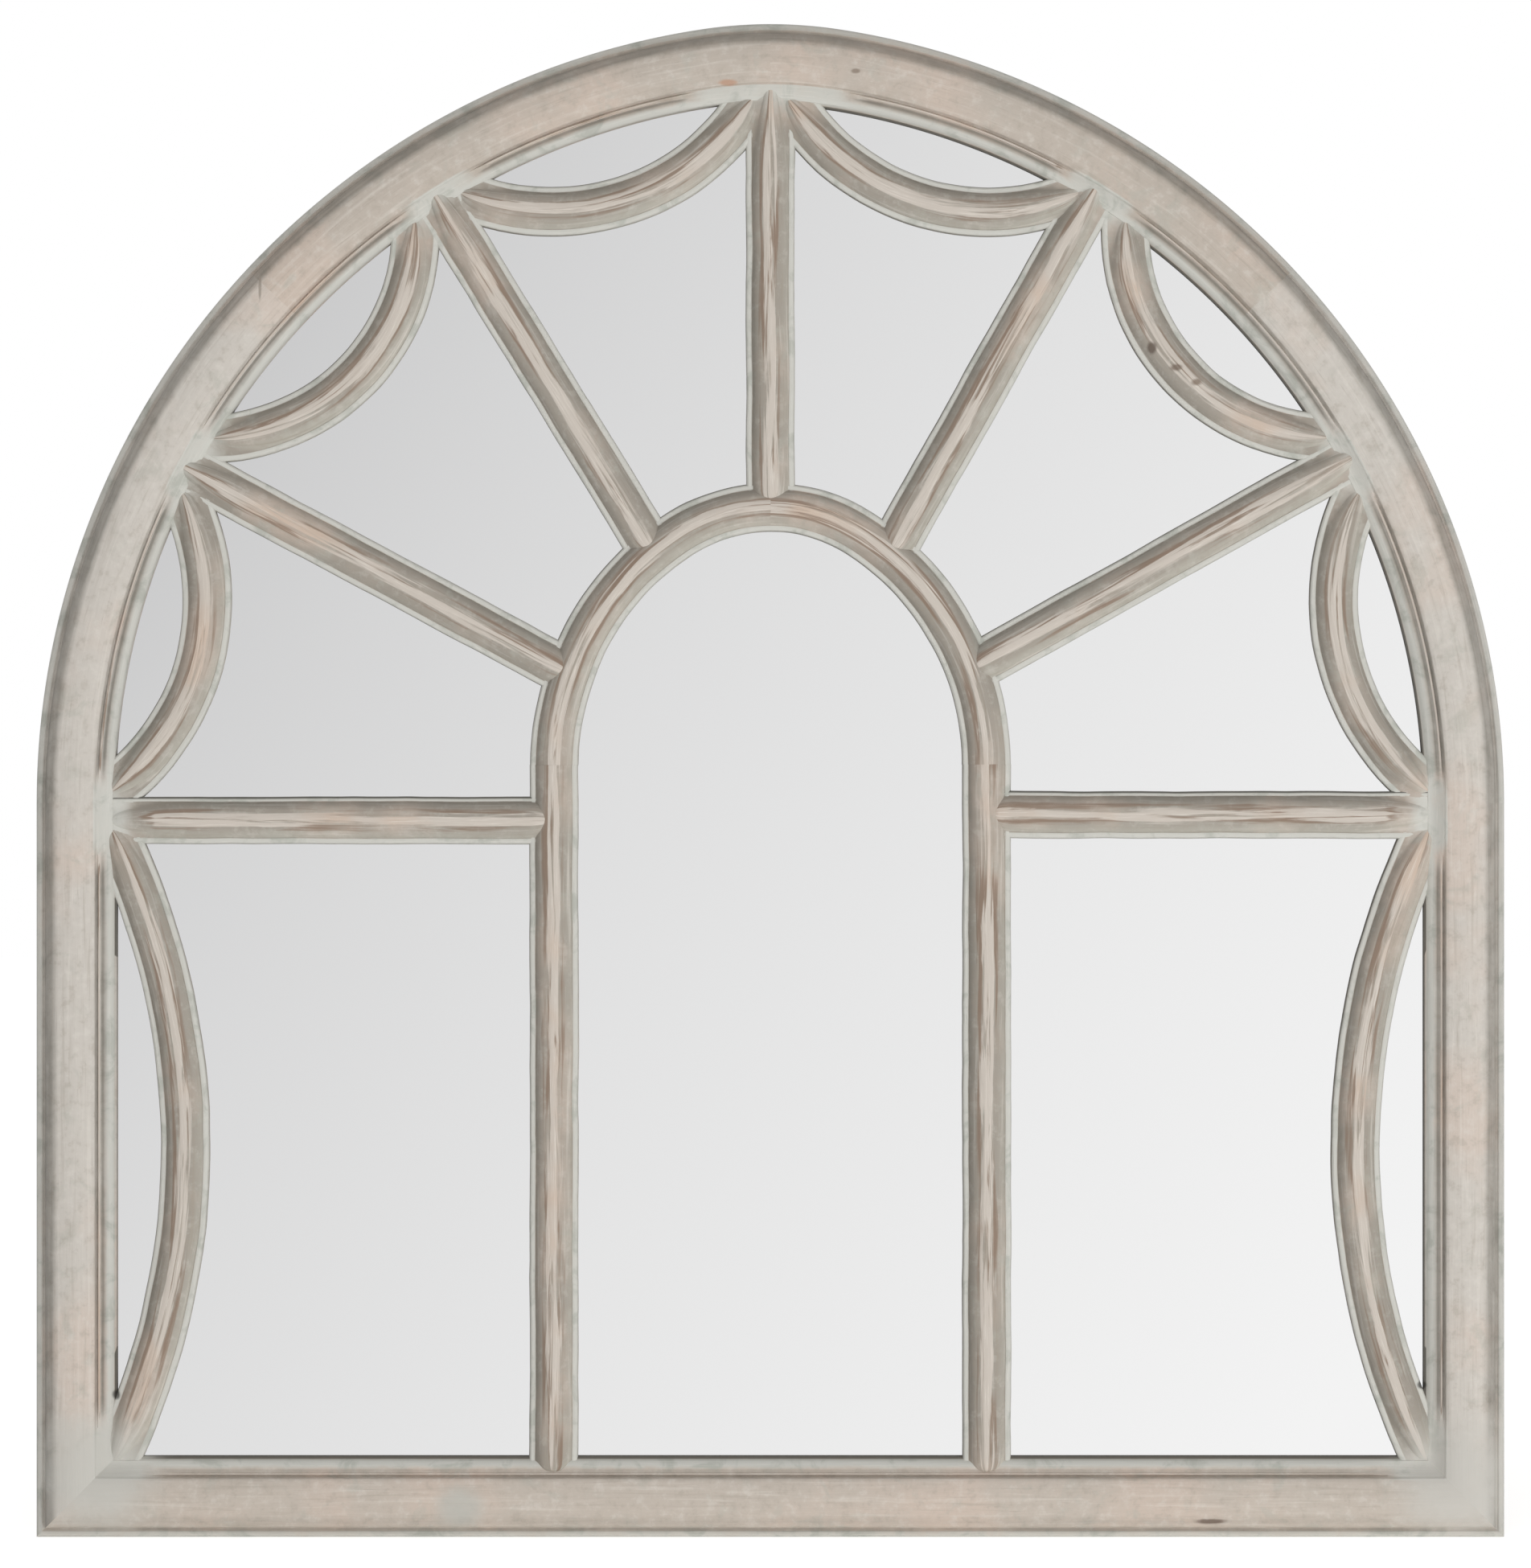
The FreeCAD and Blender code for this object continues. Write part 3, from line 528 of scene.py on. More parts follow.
def limewashed_wood(name, base, finish, streak=0.6, bar=False, pale=0.0):
    """Brushed softwood, limewashed in greige, glazed pale grey-green on the lips and dark in the hollows, and
    rubbed back along the ridges. To the eye it is matt and streaked along the grain, pinkish where the wash
    is thin and whitish where it lies heavy. Light and shade from the lower right are painted in by which way
    a side faces: painted light on the sides that face there, and painted shade, in the dark glaze, on the
    others. The pale argument sets the share of a painted highlight band along the face."""
    material, tree = new_material(name)
    grain = add(tree, "ShaderNodeUVMap", uv_map="grain").outputs[0]
    place = object_place(tree)
    faces = add(tree, "ShaderNodeTexCoord").outputs["Normal"]
    paint = add(tree, "ShaderNodeAttribute", attribute_name="paint").outputs
    marks = add(tree, "ShaderNodeSeparateColor", {"Color": paint["Color"]}).outputs

    def noise(where, scale, detail, rough, stretch=None, twist=0.0):
        if stretch:
            where = vector(tree, "MULTIPLY", where, stretch)
        return cloudy(tree, where, scale, detail, Roughness=rough, Distortion=twist)

    def blend(below, above, share):
        return mixed(tree, share, below, above)

    def ramp(value, low, high, top=1.0):
        return add(tree, "ShaderNodeMapRange", {"Value": value, "From Min": low, "From Max": high,
                                                "To Max": top}, interpolation_type="SMOOTHSTEP").outputs[0]

    def maths(first, second, operation="MULTIPLY"):
        return add(tree, "ShaderNodeMath", {0: first, 1: second}, operation=operation).outputs[0]

    def facing(way, low, high, first, last):
        """A value that follows how far a side faces one way."""
        return spread(tree, vector(tree, "DOT_PRODUCT", faces, way, "Value"), first, last, low, high)

    def distance(x, z, width, height):
        """How far a place on the front is from a spot, in half widths and half heights of the spot."""
        gap = vector(tree, "SUBTRACT", place, (x * MM, 0, z * MM))
        gap = vector(tree, "MULTIPLY", gap, (1 / (width * MM), 0, 1 / (height * MM)))
        return vector(tree, "LENGTH", gap, result="Value")

    # brush streaks some 3 mm wide and 70 mm long, and grain 0.8 mm wide and 25 mm long
    wide = noise(grain, 1, 5, 0.6, (14, 330, 1), 0.5)
    fine = noise(grain, 1, 4, 0.7, (40, 1250, 1))
    # longer runs, some 5 mm wide and 80 mm long, in which a ridge is rubbed through
    run = noise(grain, 1, 3, 0.55, (12, 200, 1))
    # thin and thick wash in clouds some 60 mm across, and patches some 15 mm across
    cloud = noise(place, 15, 3, 0.55)
    mottle = noise(place, 130, 3, 0.7)
    patch = noise(place, 60, 4, 0.6, twist=0.6)

    # the wash on the faces: pinkish and greenish where it is thin, and whiter where it is thick
    # the way that faces up and left, away from the light from the lower right: painted shade falls on sides
    # that face this way, and painted light on sides that face the other way
    shade = (-.6, 0, .8)
    colour = blend(base, linear("#d0bdaf"), ramp(cloud, .47, .66, .5))
    colour = blend(colour, linear("#b3b1a7"), ramp(patch, .52, .7, .5))
    if bar:
        # painted light on the sides that face the lower right
        colour = blend(colour, linear("#bebbb0"), facing(shade, -.2, -.7, 0, .6))
    colour = blend(colour, linear("#dcd7cf"), ramp(mottle, .5, .7, .2 if bar else .32))
    # a negative mark of the hollows is a pale band along the face: a painted highlight
    painted_highlight_band = maths(ramp(marks["Green"], -.05, -.5, pale), ramp(wide, .3, .5))
    colour = blend(colour, linear("#e6e1d9"), painted_highlight_band)
    colour = blend(colour, linear("#a49b8f"), ramp(mottle, .48, .3, .35))
    colour = blend(colour, linear("#e3ddd4"), ramp(wide, .52, .72, .5 * streak))
    colour = blend(colour, linear("#a0978a"), ramp(wide, .46, .28, .55 * streak))
    colour = blend(colour, linear("#93857a"), ramp(fine, .42, .26, .4))
    # a ragged brown line where the rubbing of each ridge stops, with more of it, as painted shade, on bar
    # sides that face up and left, and the pale pink top
    ragged = maths(marks["Red"], wide, "ADD")
    # painted shade on bar sides that face up and left, added to the brown line and to the dark glaze
    shaded = facing(shade, .05, .5, 0, .14 if bar else 0)
    broken = ramp(maths(run, shaded, "ADD"), .62 - .3 * finish.wear, .76 - .3 * finish.wear)
    colour = blend(colour, tuple(finish.bare), maths(ramp(ragged, 1.05, 1.23, .8), broken))
    top = blend(tuple(finish.ridge), linear("#c9ab93"), ramp(cloud, .52, .7, .5))
    top = blend(top, linear("#e4ddd4"), ramp(fine, .5, .7, .6))
    top = blend(top, linear("#a8917f"), ramp(wide, .44, .34, .8))
    colour = blend(colour, top, ramp(ragged, 1.33, 1.45))
    # lips and hollows: pale glaze on the lips, and dark glaze in the hollows that also carries painted shade,
    # lighter on sides that face the light, to the lower right on the bars and downward on the frame
    lips = blend(tuple(finish.glaze), linear("#adafa6"), ramp(patch, .5, .68, .7))
    lips = blend(lips, linear("#dcd9d1"), ramp(fine, .52, .7, .5))
    colour = blend(colour, lips, ramp(maths(marks["Blue"], maths(patch, .6), "ADD"), .65, 1.1))
    painted_shade_side = facing(shade, -.6, -.1, .2, 1) if bar else facing((-.2, 0, .98), -.75, -.2, .15, 1)
    streaky = maths(maths(patch, .35), maths(wide, .5), "ADD")
    dark = maths(maths(marks["Green"], painted_shade_side), maths(streaky, shaded, "ADD"), "ADD")
    colour = blend(colour, tuple(finish.dark_glaze_and_shade), ramp(dark, .48, 1.42, .9))
    # painted shade on the edge line at the glass where it faces up and left, and where it faces down and left
    edge_shade_side = maths(facing(shade, .4, .8, .2, 1), facing((-.5, 0, -.87), .5, .95, 0, .8), "MAXIMUM")
    colour = blend(colour, tuple(finish.dark_glaze_and_shade), maths(ramp(paint["Alpha"], .1, .8, .95), edge_shade_side))
    # an edge mark above 1 is a painted shade line that stays dark whichever way it faces
    colour = blend(colour, linear("#4b4942"), ramp(paint["Alpha"], 1.1, 1.9, .85))
    # stains, knots and cracks, and near-black painted shade in the tips of the two narrow panes
    for *spot, spot_colour in STAINS_AND_SHADE_SPOTS:
        near = maths(distance(*spot), maths(patch, 1.2), "ADD")
        colour = blend(colour, linear(spot_colour), ramp(near, 1.9, 1.1, .8))
    for x, z, size, share, haze in HAZES:
        near = maths(distance(x, z, size, size), maths(patch, .8), "ADD")
        colour = blend(colour, linear(haze), ramp(near, 1.8, .8, share))
    bump = add(tree, "ShaderNodeBump", {"Height": fine, "Strength": 0.35, "Distance": 0.25 * MM})
    bump = add(tree, "ShaderNodeBump", {"Height": wide, "Strength": 0.4, "Distance": 0.5 * MM,
                                        "Normal": bump.outputs[0]})
    close_material(tree, Base_Color=colour, Roughness=spread(tree, fine, 0.55, 0.75), Normal=bump.outputs[0],
                   Specular_IOR_Level=0.35)
    return material


def silvered_glass(finish):
    """Float glass silvered behind: near colourless and almost perfectly sharp."""
    material, tree = new_material("silvered_glass")
    rough = spread(tree, cloudy(tree, object_place(tree), 3.0, 2), 0.012, 0.03)
    close_material(tree, Base_Color=tuple(finish.silver), Metallic=1.0, Roughness=rough)
    return material


def speckled(name, first, second, scale, roughness, metallic=0.0, bump=0.0, stretch=(1, 1, 1)):
    """Plain stuff whose colour varies in specks or scratches of a real size."""
    material, tree = new_material(name)
    place = vector(tree, "MULTIPLY", object_place(tree), stretch)
    speck = cloudy(tree, place, scale, 5, Roughness=0.65)
    colour = mixed(tree, spread(tree, speck, 0, 1, .35, .65), linear(first), linear(second))
    rough = spread(tree, speck, roughness * .8, min(1, roughness * 1.2))
    height = add(tree, "ShaderNodeBump", {"Height": speck, "Strength": bump, "Distance": 0.2 * MM})
    close_material(tree, Base_Color=colour, Roughness=rough, Metallic=metallic, Normal=height.outputs[0])
    return material


def dress(nodes, material):
    """Give CAD nodes whose shape is right their finish."""
    for node in nodes:
        piece = frame["nodes"][node]
        piece.data.materials.clear()
        piece.data.materials.append(material)


# ---------------------------------------------------------------- lines of the mirror in plan, in metres

def at(x, z):
    """Plan point from millimetres."""
    return Vector((x, z)) * MM


SIDE_CENTRE = at(27.2, 407.4)
GLASS_EDGE_RADIUS = 392.2 * MM
CROWN_CENTRE = at(0, 584.62)
JOINT = math.radians(43)
CROWN_TURN = math.radians(81.28)
INNER_SIDE_CENTRE = at(32.9, 428.7)
INNER_CROWN_CENTRE = at(0, 477.6)
INNER_SIDE_RADIUS = 152.9 * MM
INNER_CROWN_RADIUS = 94 * MM
INNER_TURN = QUARTER - math.asin(32.9 / 58.9)
TOP_JOINT = at(0, 797.5)
UPPER_JOINT = at(180.0, 740.4)
LOWER_JOINT = at(318.1, 593.3)
CROSS_JOINT = at(365, 399.5)


def flip(point, side):
    """A right-hand point on either side of the centre plane."""
    return Vector((point.x * side, point.y))


def mirror_angle(angle, side):
    """A right-hand angle on either side of the centre plane."""
    return angle if side > 0 else math.pi - angle


def reach_circle(point, way, centre, radius):
    """How far a point goes along its way, forward or back, to leave a circle."""
    gap = point - centre
    middle = gap.dot(way)
    return -middle + math.sqrt(middle ** 2 - gap.length_squared + radius ** 2)


def rim_arc(centre, radius, start, end, side):
    """Arc of the rim or of the inner arch, always walked so that the window lies on the left."""
    centre = flip(Vector((-centre.x, centre.y)), side)
    if side < 0:
        start, end = end, start
    return arc_leg(centre, radius, mirror_angle(start, side), mirror_angle(end, side))


def closeness(point, joints, reach):
    """1 at a joint of the lattice with the frame, falling smoothly to 0."""
    near = min((Vector((abs(point.x), point.z)) - joint).length for joint in joints)
    share = max(0.0, min(1.0, (near - 0.4 * reach) / (0.6 * reach)))
    return 1 - share * share * (3 - 2 * share)


def press_webs(piece, reach):
    """Press the thin ridge down and fill the groove by each joint, where the frame is carved into a
    smooth web."""
    joints = (TOP_JOINT, at(22, 796), UPPER_JOINT, LOWER_JOINT, CROSS_JOINT, at(365, 42.5))
    ridge, web_height, web_rise, web_run, full_press = 33, 12.6, 7.1, 9.5, 3
    lower = piece.vertex_groups.new(name="lower")
    lift = piece.vertex_groups.new(name="lift")
    for vertex in piece.data.vertices:
        height = WOOD_BACK - vertex.co.y
        share = closeness(vertex.co, joints, reach)
        red, green, blue, glass = piece.data.attributes["paint"].data[vertex.index].color
        inset = piece.data.attributes["inset"].data[vertex.index].value / MM
        if inset < ridge - 1 or height < web_height * MM or share == 0:
            continue
        fall = max(0, min(1, (inset - ridge) / web_run))
        change = web_height + web_rise * (1 - fall) ** 1.8 - height / MM
        weight = min(1, abs(change) / full_press) * share
        (lift if change > 0 else lower).add([vertex.index], weight, "REPLACE")
        # the painted edge of the face stays at the very top of the arch
        if inset > ridge + 1 or vertex.co.z < 780 * MM:
            piece.data.attributes["paint"].data[vertex.index].color = [
                red * (1 - share), green * (1 - .9 * share), max(blue, .75 * share), glass]
    take(piece)
    for group, way in (("lower", 1), ("lift", -1)):
        press = piece.modifiers.new("press", "DISPLACE")
        press.direction = "Y"
        press.mid_level = 0
        press.strength = way * full_press * MM
        press.vertex_group = group
        bpy.ops.object.modifier_apply(modifier=press.name)


# the members whose lip runs out further over the glass, and the mark for how dark the painted shade line on
# its edge is
BROAD_EDGES_AND_SHADE = {"bottom_rail": 4, "right_haunch": 2.6, "right_crown": 2.6, "left_stile": 1.5,
               "right_stile": 2}


def paint_edge_shade(member, name, width):
    """Mark the dark painted shade line at the edge by the glass, blackest in the tips of the two narrow
    panes, and the softer groove of the rail."""
    marks = member.data.attributes["paint"].data
    insets = member.data.attributes["inset"].data
    for vertex in member.data.vertices:
        red, green, blue, glass = marks[vertex.index].color
        inset, height = insets[vertex.index].value, vertex.co.z / MM
        if name in BROAD_EDGES_AND_SHADE and inset > width + 0.5 * MM:
            tip = "stile" in name and (72 < height < 102 or 325 < height < 356)
            marks[vertex.index].color = (0, 0, 0, 4 if tip else BROAD_EDGES_AND_SHADE[name])
        elif name == "bottom_rail" and inset > 32.5 * MM:
            marks[vertex.index].color = (red * .4, green * .5, blue, glass)


# ---------------------------------------------------------------- operators

class MirrorOuterFrame(bpy.types.Operator):
    """Outer frame: bottom rail, stiles, haunches and crowns, each a moulded member"""
    bl_idname = "window_mirror.outer_frame"
    bl_label = "Outer frame"

    def execute(self, context):
        sizes = context.scene.window_mirror.frame
        section = frame_section(sizes)
        inset = section.data.attributes.new("inset", "FLOAT", "POINT")
        for vertex in section.data.vertices:
            inset.data[vertex.index].value = vertex.co.y
        finish = context.scene.window_mirror.finish
        # the sides take a pale painted highlight band along the face
        sides = limewashed_wood("limewashed_sides", tuple(finish.wash), finish, pale=0.7)
        crowns = limewashed_wood("limewashed_crowns", linear("#bdb3a8"), finish)
        rail = limewashed_wood("limewashed_rail", linear("#c0b6ab"), finish)
        raw = speckled("sawn_poplar", "#b99b76", "#cdb392", 260, 0.75, bump=0.4, stretch=(1, 1, .25))
        side, crown = sizes.side_radius, sizes.crown_radius
        mitres = {"bottom_rail": (1, -1), "right_stile": (1,), "left_stile": (-1,)}
        members = {"bottom_rail": (2 * HALF_WIDTH, [line_leg((-HALF_WIDTH, 0), (HALF_WIDTH, 0))])}
        for name, way in (("right", 1), ("left", -1)):
            foot, spring = (HALF_WIDTH * way, 0), (HALF_WIDTH * way, SPRING)
            members[name + "_stile"] = (SPRING, [line_leg(*(foot, spring)[::way])])
            members[name + "_haunch"] = (side * JOINT, [rim_arc(SIDE_CENTRE, side, 0, JOINT, way)])
            legs = [rim_arc(SIDE_CENTRE, side, JOINT, CROWN_TURN, way),
                    rim_arc(CROWN_CENTRE, crown, CROWN_TURN, QUARTER, way)]
            members[name + "_crown"] = (side * (CROWN_TURN - JOINT) + crown * (QUARTER - CROWN_TURN),
                                        legs[::way])
        for index, (name, (whole, legs)) in enumerate(members.items()):
            member = duplicate(section, name + "_wood")
            take(member, "EDIT")
            bpy.ops.mesh.select_all(action="SELECT")
            extrude((whole, 0, 0))
            pick(member, edges=lambda a, b: abs(a.x - b.x) > 0.9 * whole)
            bpy.ops.mesh.subdivide(number_cuts=min(99, int(whole / FRAME_STATION)))
            bpy.ops.mesh.select_all(action="SELECT")
            bpy.ops.mesh.normals_make_consistent(inside=False)
            bpy.ops.object.mode_set(mode="OBJECT")
            lay_grain(member, 0.83 * index)
            if name in BROAD_EDGES_AND_SHADE:
                shift(member, lambda co: co.y > sizes.width + 0.5 * MM, (0, sizes.broad_edge, 0))
            bend_and_stand(member, *legs)
            paint_edge_shade(member, name, sizes.width)
            # the rail keeps what is below each mitre, and a stile what is above it
            for way in mitres.get(name, ()):
                take(member, "EDIT")
                bpy.ops.mesh.select_all(action="SELECT")
                turn = 1 if name == "bottom_rail" else -1
                bpy.ops.mesh.bisect(plane_co=(HALF_WIDTH * way, 0, 0), plane_no=(turn * way, 0, turn),
                                    use_fill=True, clear_outer=True)
                bpy.ops.object.mode_set(mode="OBJECT")
            press_webs(member, sizes.web_reach)
            member.data.materials.append(crowns if "crown" in name else rail if "rail" in name else sides)
            member.data.materials.append(raw)
            take(member, "EDIT")
            pick(member, faces=lambda centre, normal: normal.y > 0.5)
            member.active_material_index = 1
            bpy.ops.object.material_slot_assign()
            bpy.ops.object.mode_set(mode="OBJECT")
            finish_piece(member, name)
        bpy.data.objects.remove(section)
        return {"FINISHED"}


class MirrorLattice(bpy.types.Operator):
    """Glazing bars: the inner arch, the centre bar, the rays and the cross bars, with carved ends"""
    bl_idname = "window_mirror.lattice"
    bl_label = "Glazing bars"

    def execute(self, context):
        sizes = context.scene.window_mirror.bars
        lip = GLASS_FRONT + sizes.lip_height
        half = sizes.width / 2
        finish = context.scene.window_mirror.finish
        wood = limewashed_wood("limewashed_bars", tuple(finish.slope), finish, streak=1.0, bar=True)
        section = bar_section(sizes)
        rounded_in = bar_blank(section, "ray_blank", SPEAR, BUTT, lip)
        finger_in = bar_blank(section, "cross_blank", FINGER, BUTT, lip)
        stile_blank = bar_blank(section, "inner_stile_blank", FOOT, PLAIN, lip)
        arch_blank = bar_blank(section, "inner_arch_blank", PLAIN, PLAIN, lip)
        made = []

        def lay(name, blank, whole, *legs, sink=0.0):
            """Make one bar, its top sunk a little where it must lie below its neighbours."""
            bar = lengthen(blank, name + "_wood", whole)
            lay_grain(bar, 0.61 * len(made))
            bend_and_stand(bar, *legs)
            if sink:
                shift(bar, lambda co: co.y < -lip + WOOD_BACK + 1 * MM, (0, sink, 0))
            made.append((bar, name))

        # each ray in plan: a point on it and its slope. The two hands are cut a little differently.
        rays = {
            "upper_ray": {1: (at(116.8, 635.0), 60.6), -1: (at(119.0, 635.0), 58.5)},
            "lower_ray": {1: (at(200.0, 531.0), 29.1), -1: (at(200.0, 526.8), 28.15)},
        }
        outer, inner = flip(SIDE_CENTRE, -1), flip(INNER_SIDE_CENTRE, -1)
        ray_sink = 0.15 * MM
        for name, side in (("right", 1), ("left", -1)):
            for ray, hands in rays.items():
                point, angle = hands[side]
                out = Vector((math.cos(math.radians(angle)), math.sin(math.radians(angle))))
                start = point + out * (reach_circle(point, out, outer, GLASS_EDGE_RADIUS) + 14 * MM)
                end = point + out * reach_circle(point, out, inner, INNER_SIDE_RADIUS + sizes.ridge_width / 2)
                lay(name + "_" + ray, rounded_in, (start - end).length,
                    line_leg(flip(start, side), flip(end, side)), sink=ray_sink)
            level = at(0, 401.2 if side > 0 else 398.0)
            start, end = at(374, 0) + level, at(123.4, 0) + level
            lay(name + "_cross_bar", finger_in, start.x - end.x,
                line_leg(flip(start, side), flip(end, side)), sink=ray_sink)
            # the level top edge is cut a little closer and carries a dark painted shade line, and the last 20
            # mm before the web fade into it
            bar, shoulder = made[-1][0], level.y + half - 2 * MM
            marks = bar.data.attributes["paint"].data
            for vertex in bar.data.vertices:
                red, green, blue, glass = marks[vertex.index].color
                fade = max(0, min(1, (abs(vertex.co.x) / MM - 342) / 20))
                marks[vertex.index].color = (red * (1 - fade), green * (1 - .8 * fade),
                                             max(blue, .85 * fade),
                                             2 if vertex.co.z > shoulder else glass)
            shift(bar, lambda co: co.z > shoulder + 1.6 * MM, (0, 0, -0.7 * MM))
            foot, spring = at(120.2, 36.2), at(120.2, 428.7)
            lay(name + "_inner_stile", stile_blank, (spring - foot).length,
                line_leg(flip(foot, side), flip(spring, side)))
            legs = [rim_arc(INNER_SIDE_CENTRE, INNER_SIDE_RADIUS, 0, INNER_TURN, side),
                    rim_arc(INNER_CROWN_CENTRE, INNER_CROWN_RADIUS, INNER_TURN, QUARTER, side)]
            whole = INNER_SIDE_RADIUS * INNER_TURN + INNER_CROWN_RADIUS * (QUARTER - INNER_TURN)
            lay(name + "_inner_arch", arch_blank, whole, *legs[::side])
        # from the crown of the frame to the top of the inner arch, 571.6 mm up, and 3.4 mm over it
        top, foot = at(0, 806), at(0, 571.6 + 3.4)
        lay("centre_bar", rounded_in, (top - foot).length, line_leg(top, foot), sink=ray_sink)
        for bar, node in made:
            waver(bar, sizes.waver)
            bar.data.materials.append(wood)
            finish_piece(bar, node)
        for spare in (rounded_in, finger_in, stile_blank, arch_blank, section):
            bpy.data.objects.remove(spare)
        return {"FINISHED"}


class MirrorSwags(bpy.types.Operator):
    """Swags: the eight curved bars that hang between the outer ends of the glazing bars"""
    bl_idname = "window_mirror.swags"
    bl_label = "Swags"

    def execute(self, context):
        sizes = context.scene.window_mirror.bars
        lip = GLASS_FRONT + sizes.lip_height
        wood = bpy.data.materials["limewashed_bars"]
        section = bar_section(sizes)
        blank = bar_blank(section, "swag_blank", FINGER, FINGER, lip)
        # centre and radius in mm of each swag's line, and where its two ends meet the frame's edge. Each
        # end runs on for another 9.5 mm.
        swags = {
            "crown_swag": (at(121, 865.8), 130.0, at(10.7, 797.3), at(170.8, 745.9)),
            "shoulder_swag": (at(312.5, 725.4), 115.4, at(196.7, 729.4), at(308.2, 610.7)),
            "haunch_swag": (at(446.2, 520.2), 133.4, at(325.4, 579.1), at(364.9, 415.5)),
            "stile_swag": (at(730, 216), 405.0, at(365, 390.9), at(365, 45.1)),
        }
        laid = 0
        for name, side in (("right", 1), ("left", -1)):
            for swag, (centre, radius, upper, lower) in swags.items():
                radius *= MM
                first, last = [math.atan2(end.y - centre.y, end.x - centre.x) % (2 * math.pi)
                               for end in (upper, lower)]
                run_in = 9.5 * MM / radius
                first, last = first - run_in, last + run_in
                bar = lengthen(blank, name + "_" + swag + "_wood", radius * (last - first))
                lay_grain(bar, 3.1 + 0.57 * laid)
                laid += 1
                first, last = mirror_angle(first, side), mirror_angle(last, side)
                bend_and_stand(bar, arc_leg(flip(centre, side), radius, first, last))
                shift(bar, lambda co: co.y < -lip + WOOD_BACK + 1 * MM, (0, 0.3 * MM, 0))
                waver(bar, sizes.waver)
                bar.data.materials.append(wood)
                finish_piece(bar, name + "_" + swag)
        for spare in (blank, section):
            bpy.data.objects.remove(spare)
        return {"FINISHED"}


class MirrorGlassAndBack(bpy.types.Operator):
    """Mirror, backing board, screws, hangers and bumpers: finishes for the CAD pieces"""
    bl_idname = "window_mirror.glass_and_back"
    bl_label = "Glass and back"

    def execute(self, context):
        finish = context.scene.window_mirror.finish
        dress(["mirror_sheet"], silvered_glass(finish))
        # tempered hardboard: smooth, brown, with fibre specks about a millimetre long
        board = speckled("tempered_hardboard", "#7d5c40", "#94714f", 900, 0.62, bump=0.25)
        dress(["backing_board"], board)
        # zinc-plated steel, rolled for the straps and rings and turned for the screws
        dress(["board_screws", "hanger_screws"], speckled("zinc_plated_screws", "#a9a9a4", "#c6c6c2", 700,
                                                          0.3, 1.0, 0.1))
        dress(["left_hanger_strap", "right_hanger_strap", "left_hanging_ring", "right_hanging_ring"],
              speckled("zinc_plated_strip", "#9c9d98", "#bcbdb8", 500, 0.34, 1.0, 0.15, (1, 1, .2)))
        # moulded black rubber: matt, a little dusty
        dress(["wall_bumpers"], speckled("moulded_rubber", "#1d1d1e", "#2b2b2b", 400, 0.85, bump=0.3))
        # turned beech pegs and tongues, pale with short flecks along the grain
        dress(["frame_dowels", "bar_dowels", "mitre_tongues"],
              speckled("turned_beech", "#c59f74", "#d8b88e", 600, 0.55, bump=0.2))
        return {"FINISHED"}


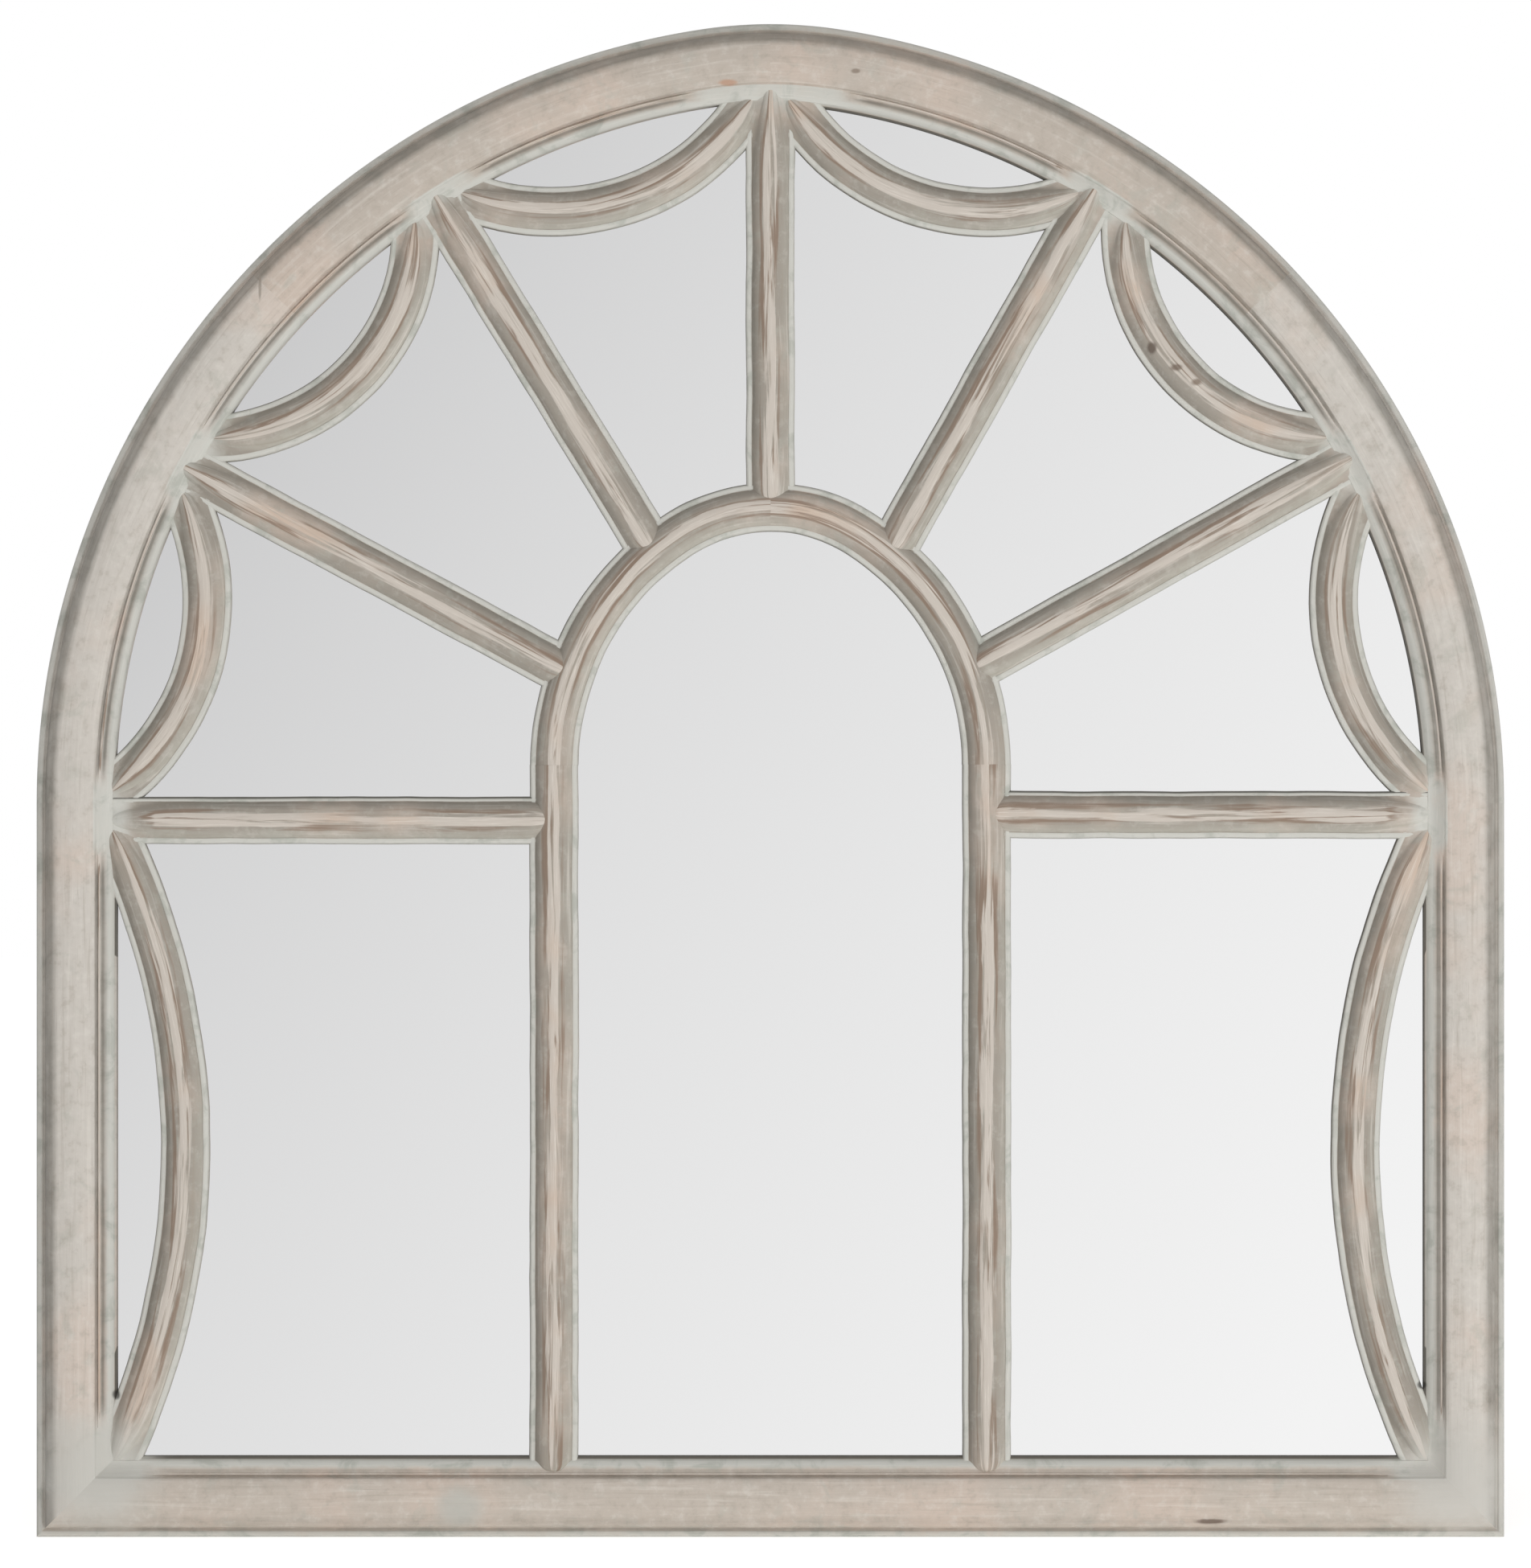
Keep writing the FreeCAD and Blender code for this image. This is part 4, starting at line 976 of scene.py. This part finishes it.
class MirrorStudio(bpy.types.Operator):
    """Stage: a pale floor, plain soft light and the camera"""
    bl_idname = "window_mirror.studio"
    bl_label = "Studio"

    def execute(self, context):
        stage = context.scene.window_mirror.stage
        scene = context.scene
        deselect()
        bpy.ops.mesh.primitive_plane_add(size=24, location=(0, 0, -0.3 * MM))
        floor = bpy.context.object
        floor.name = "floor"
        floor.data.materials.append(self.floor_material())
        floor.visible_shadow = False  # the key lamp stands lower than the mirror's foot
        self.light_world(stage)
        self.lamp("key_lamp", (1.77, -2.0, -1.35), (0, 0, 0.42), 1.5, stage.key)
        self.lamp("fill_lamp", (-0.2, -3.3, 1.1), (0, 0, 0.42), 2.0, stage.fill)
        data = bpy.data.cameras.new("camera")
        camera = bpy.data.objects.new("camera", data)
        bpy.context.collection.objects.link(camera)
        face = CAD_LOW.y
        camera.location = (-2.7 * MM, face - stage.camera_distance, 418.0 * MM)
        camera.rotation_euler = (QUARTER, 0, 0)
        data.sensor_width = 36
        # the rim's ledge, which makes the outline, lies 11.5 mm behind the face
        data.lens = data.sensor_width * (stage.camera_distance + 11.5 * MM) / stage.view_height
        data.clip_end = 60
        scene.camera = camera
        scene.view_settings.view_transform = "Standard"
        return {"FINISHED"}

    def floor_material(self):
        """Painted studio floor: white, keeps the shadow, and leaves the mirror's view to the sky."""
        material, tree = new_material("studio_floor")
        path = add(tree, "ShaderNodeLightPath")
        dust = cloudy(tree, object_place(tree), 4, 2)
        tone = mixed(tree, dust, linear("#f2f2f1"), linear("#f5f5f4"))
        paint = add(tree, "ShaderNodeBsdfDiffuse", {"Color": tone}).outputs[0]
        glow = add(tree, "ShaderNodeEmission", {"Strength": 0.58}).outputs[0]
        lit = add(tree, "ShaderNodeAddShader", {0: paint, 1: glow}).outputs[0]
        seen = add(tree, "ShaderNodeMixShader", {0: path.outputs["Is Camera Ray"], 1: paint, 2: lit})
        clear = add(tree, "ShaderNodeBsdfTransparent")
        away = add(tree, "ShaderNodeMixShader", {0: path.outputs["Is Glossy Ray"], 1: seen.outputs[0],
                                                 2: clear.outputs[0]})
        add(tree, "ShaderNodeOutputMaterial", {"Surface": away.outputs[0]})
        return material

    def light_world(self, stage):
        """White to the camera. To the glass it is a studio wall, greyer at the upper left."""
        world = bpy.data.worlds.new("studio")
        bpy.context.scene.world = world
        world.use_nodes = True
        tree = world.node_tree
        tree.nodes.clear()
        path = add(tree, "ShaderNodeLightPath")
        way = add(tree, "ShaderNodeTexCoord").outputs["Generated"]
        slope = vector(tree, "DOT_PRODUCT", way, (0.83, 0, -0.56), "Value")
        share = spread(tree, slope, 0, 1, -0.135, 0.125)
        share = add(tree, "ShaderNodeMath", {0: share, 1: 0.55}, operation="POWER").outputs[0]
        wall = mixed(tree, share, linear("#b5b5b6"), linear("#f8f8f8"))
        ambient = add(tree, "ShaderNodeBackground", {"Color": linear("#fdfdfd"), "Strength": stage.ambient})
        backdrop = add(tree, "ShaderNodeBackground", {"Color": (1, 1, 1, 1), "Strength": 1.0})
        studio = add(tree, "ShaderNodeBackground", {"Color": wall, "Strength": 1.0})
        first = add(tree, "ShaderNodeMixShader", {0: path.outputs["Is Glossy Ray"], 1: ambient.outputs[0],
                                                  2: studio.outputs[0]})
        last = add(tree, "ShaderNodeMixShader", {0: path.outputs["Is Camera Ray"], 1: first.outputs[0],
                                                 2: backdrop.outputs[0]})
        add(tree, "ShaderNodeOutputWorld", {"Surface": last.outputs[0]})

    def lamp(self, name, place, target, size, power):
        """Large soft square lamp."""
        light = bpy.data.lights.new(name, "AREA")
        light.shape = "SQUARE"
        light.size = size
        light.energy = power
        lamp = bpy.data.objects.new(name, light)
        bpy.context.collection.objects.link(lamp)
        lamp.location = place
        lamp.rotation_euler = (Vector(target) - Vector(place)).to_track_quat("-Z", "Y").to_euler()
        lamp.visible_glossy = False


class MirrorPanel(bpy.types.Panel):
    """Buttons and settings of the mirror"""
    bl_idname = "VIEW3D_PT_window_mirror"
    bl_label = "Arched window mirror"
    bl_space_type = "VIEW_3D"
    bl_region_type = "UI"
    bl_category = "Mirror"

    def draw(self, context):
        settings = context.scene.window_mirror
        for maker in MAKERS:
            self.layout.operator(maker.bl_idname)
        for group in (settings.frame, settings.bars, settings.finish, settings.stage):
            box = self.layout.box()
            for name in group.__annotations__:
                box.prop(group, name)


GROUPS = (MirrorFrameSizes, MirrorBarSizes, MirrorFinish, MirrorStage, MirrorSettings)
MAKERS = (MirrorOuterFrame, MirrorLattice, MirrorSwags, MirrorGlassAndBack, MirrorStudio)


def register():
    for kind in GROUPS + MAKERS + (MirrorPanel,):
        bpy.utils.register_class(kind)
    bpy.types.Scene.window_mirror = PointerProperty(type=MirrorSettings)


def unregister():
    del bpy.types.Scene.window_mirror
    for kind in reversed(GROUPS + MAKERS + (MirrorPanel,)):
        bpy.utils.unregister_class(kind)


def main():
    register()
    bpy.ops.window_mirror.outer_frame()
    bpy.ops.window_mirror.lattice()
    bpy.ops.window_mirror.swags()
    bpy.ops.window_mirror.glass_and_back()
    bpy.ops.window_mirror.studio()


if __name__ == "__main__":
    main()
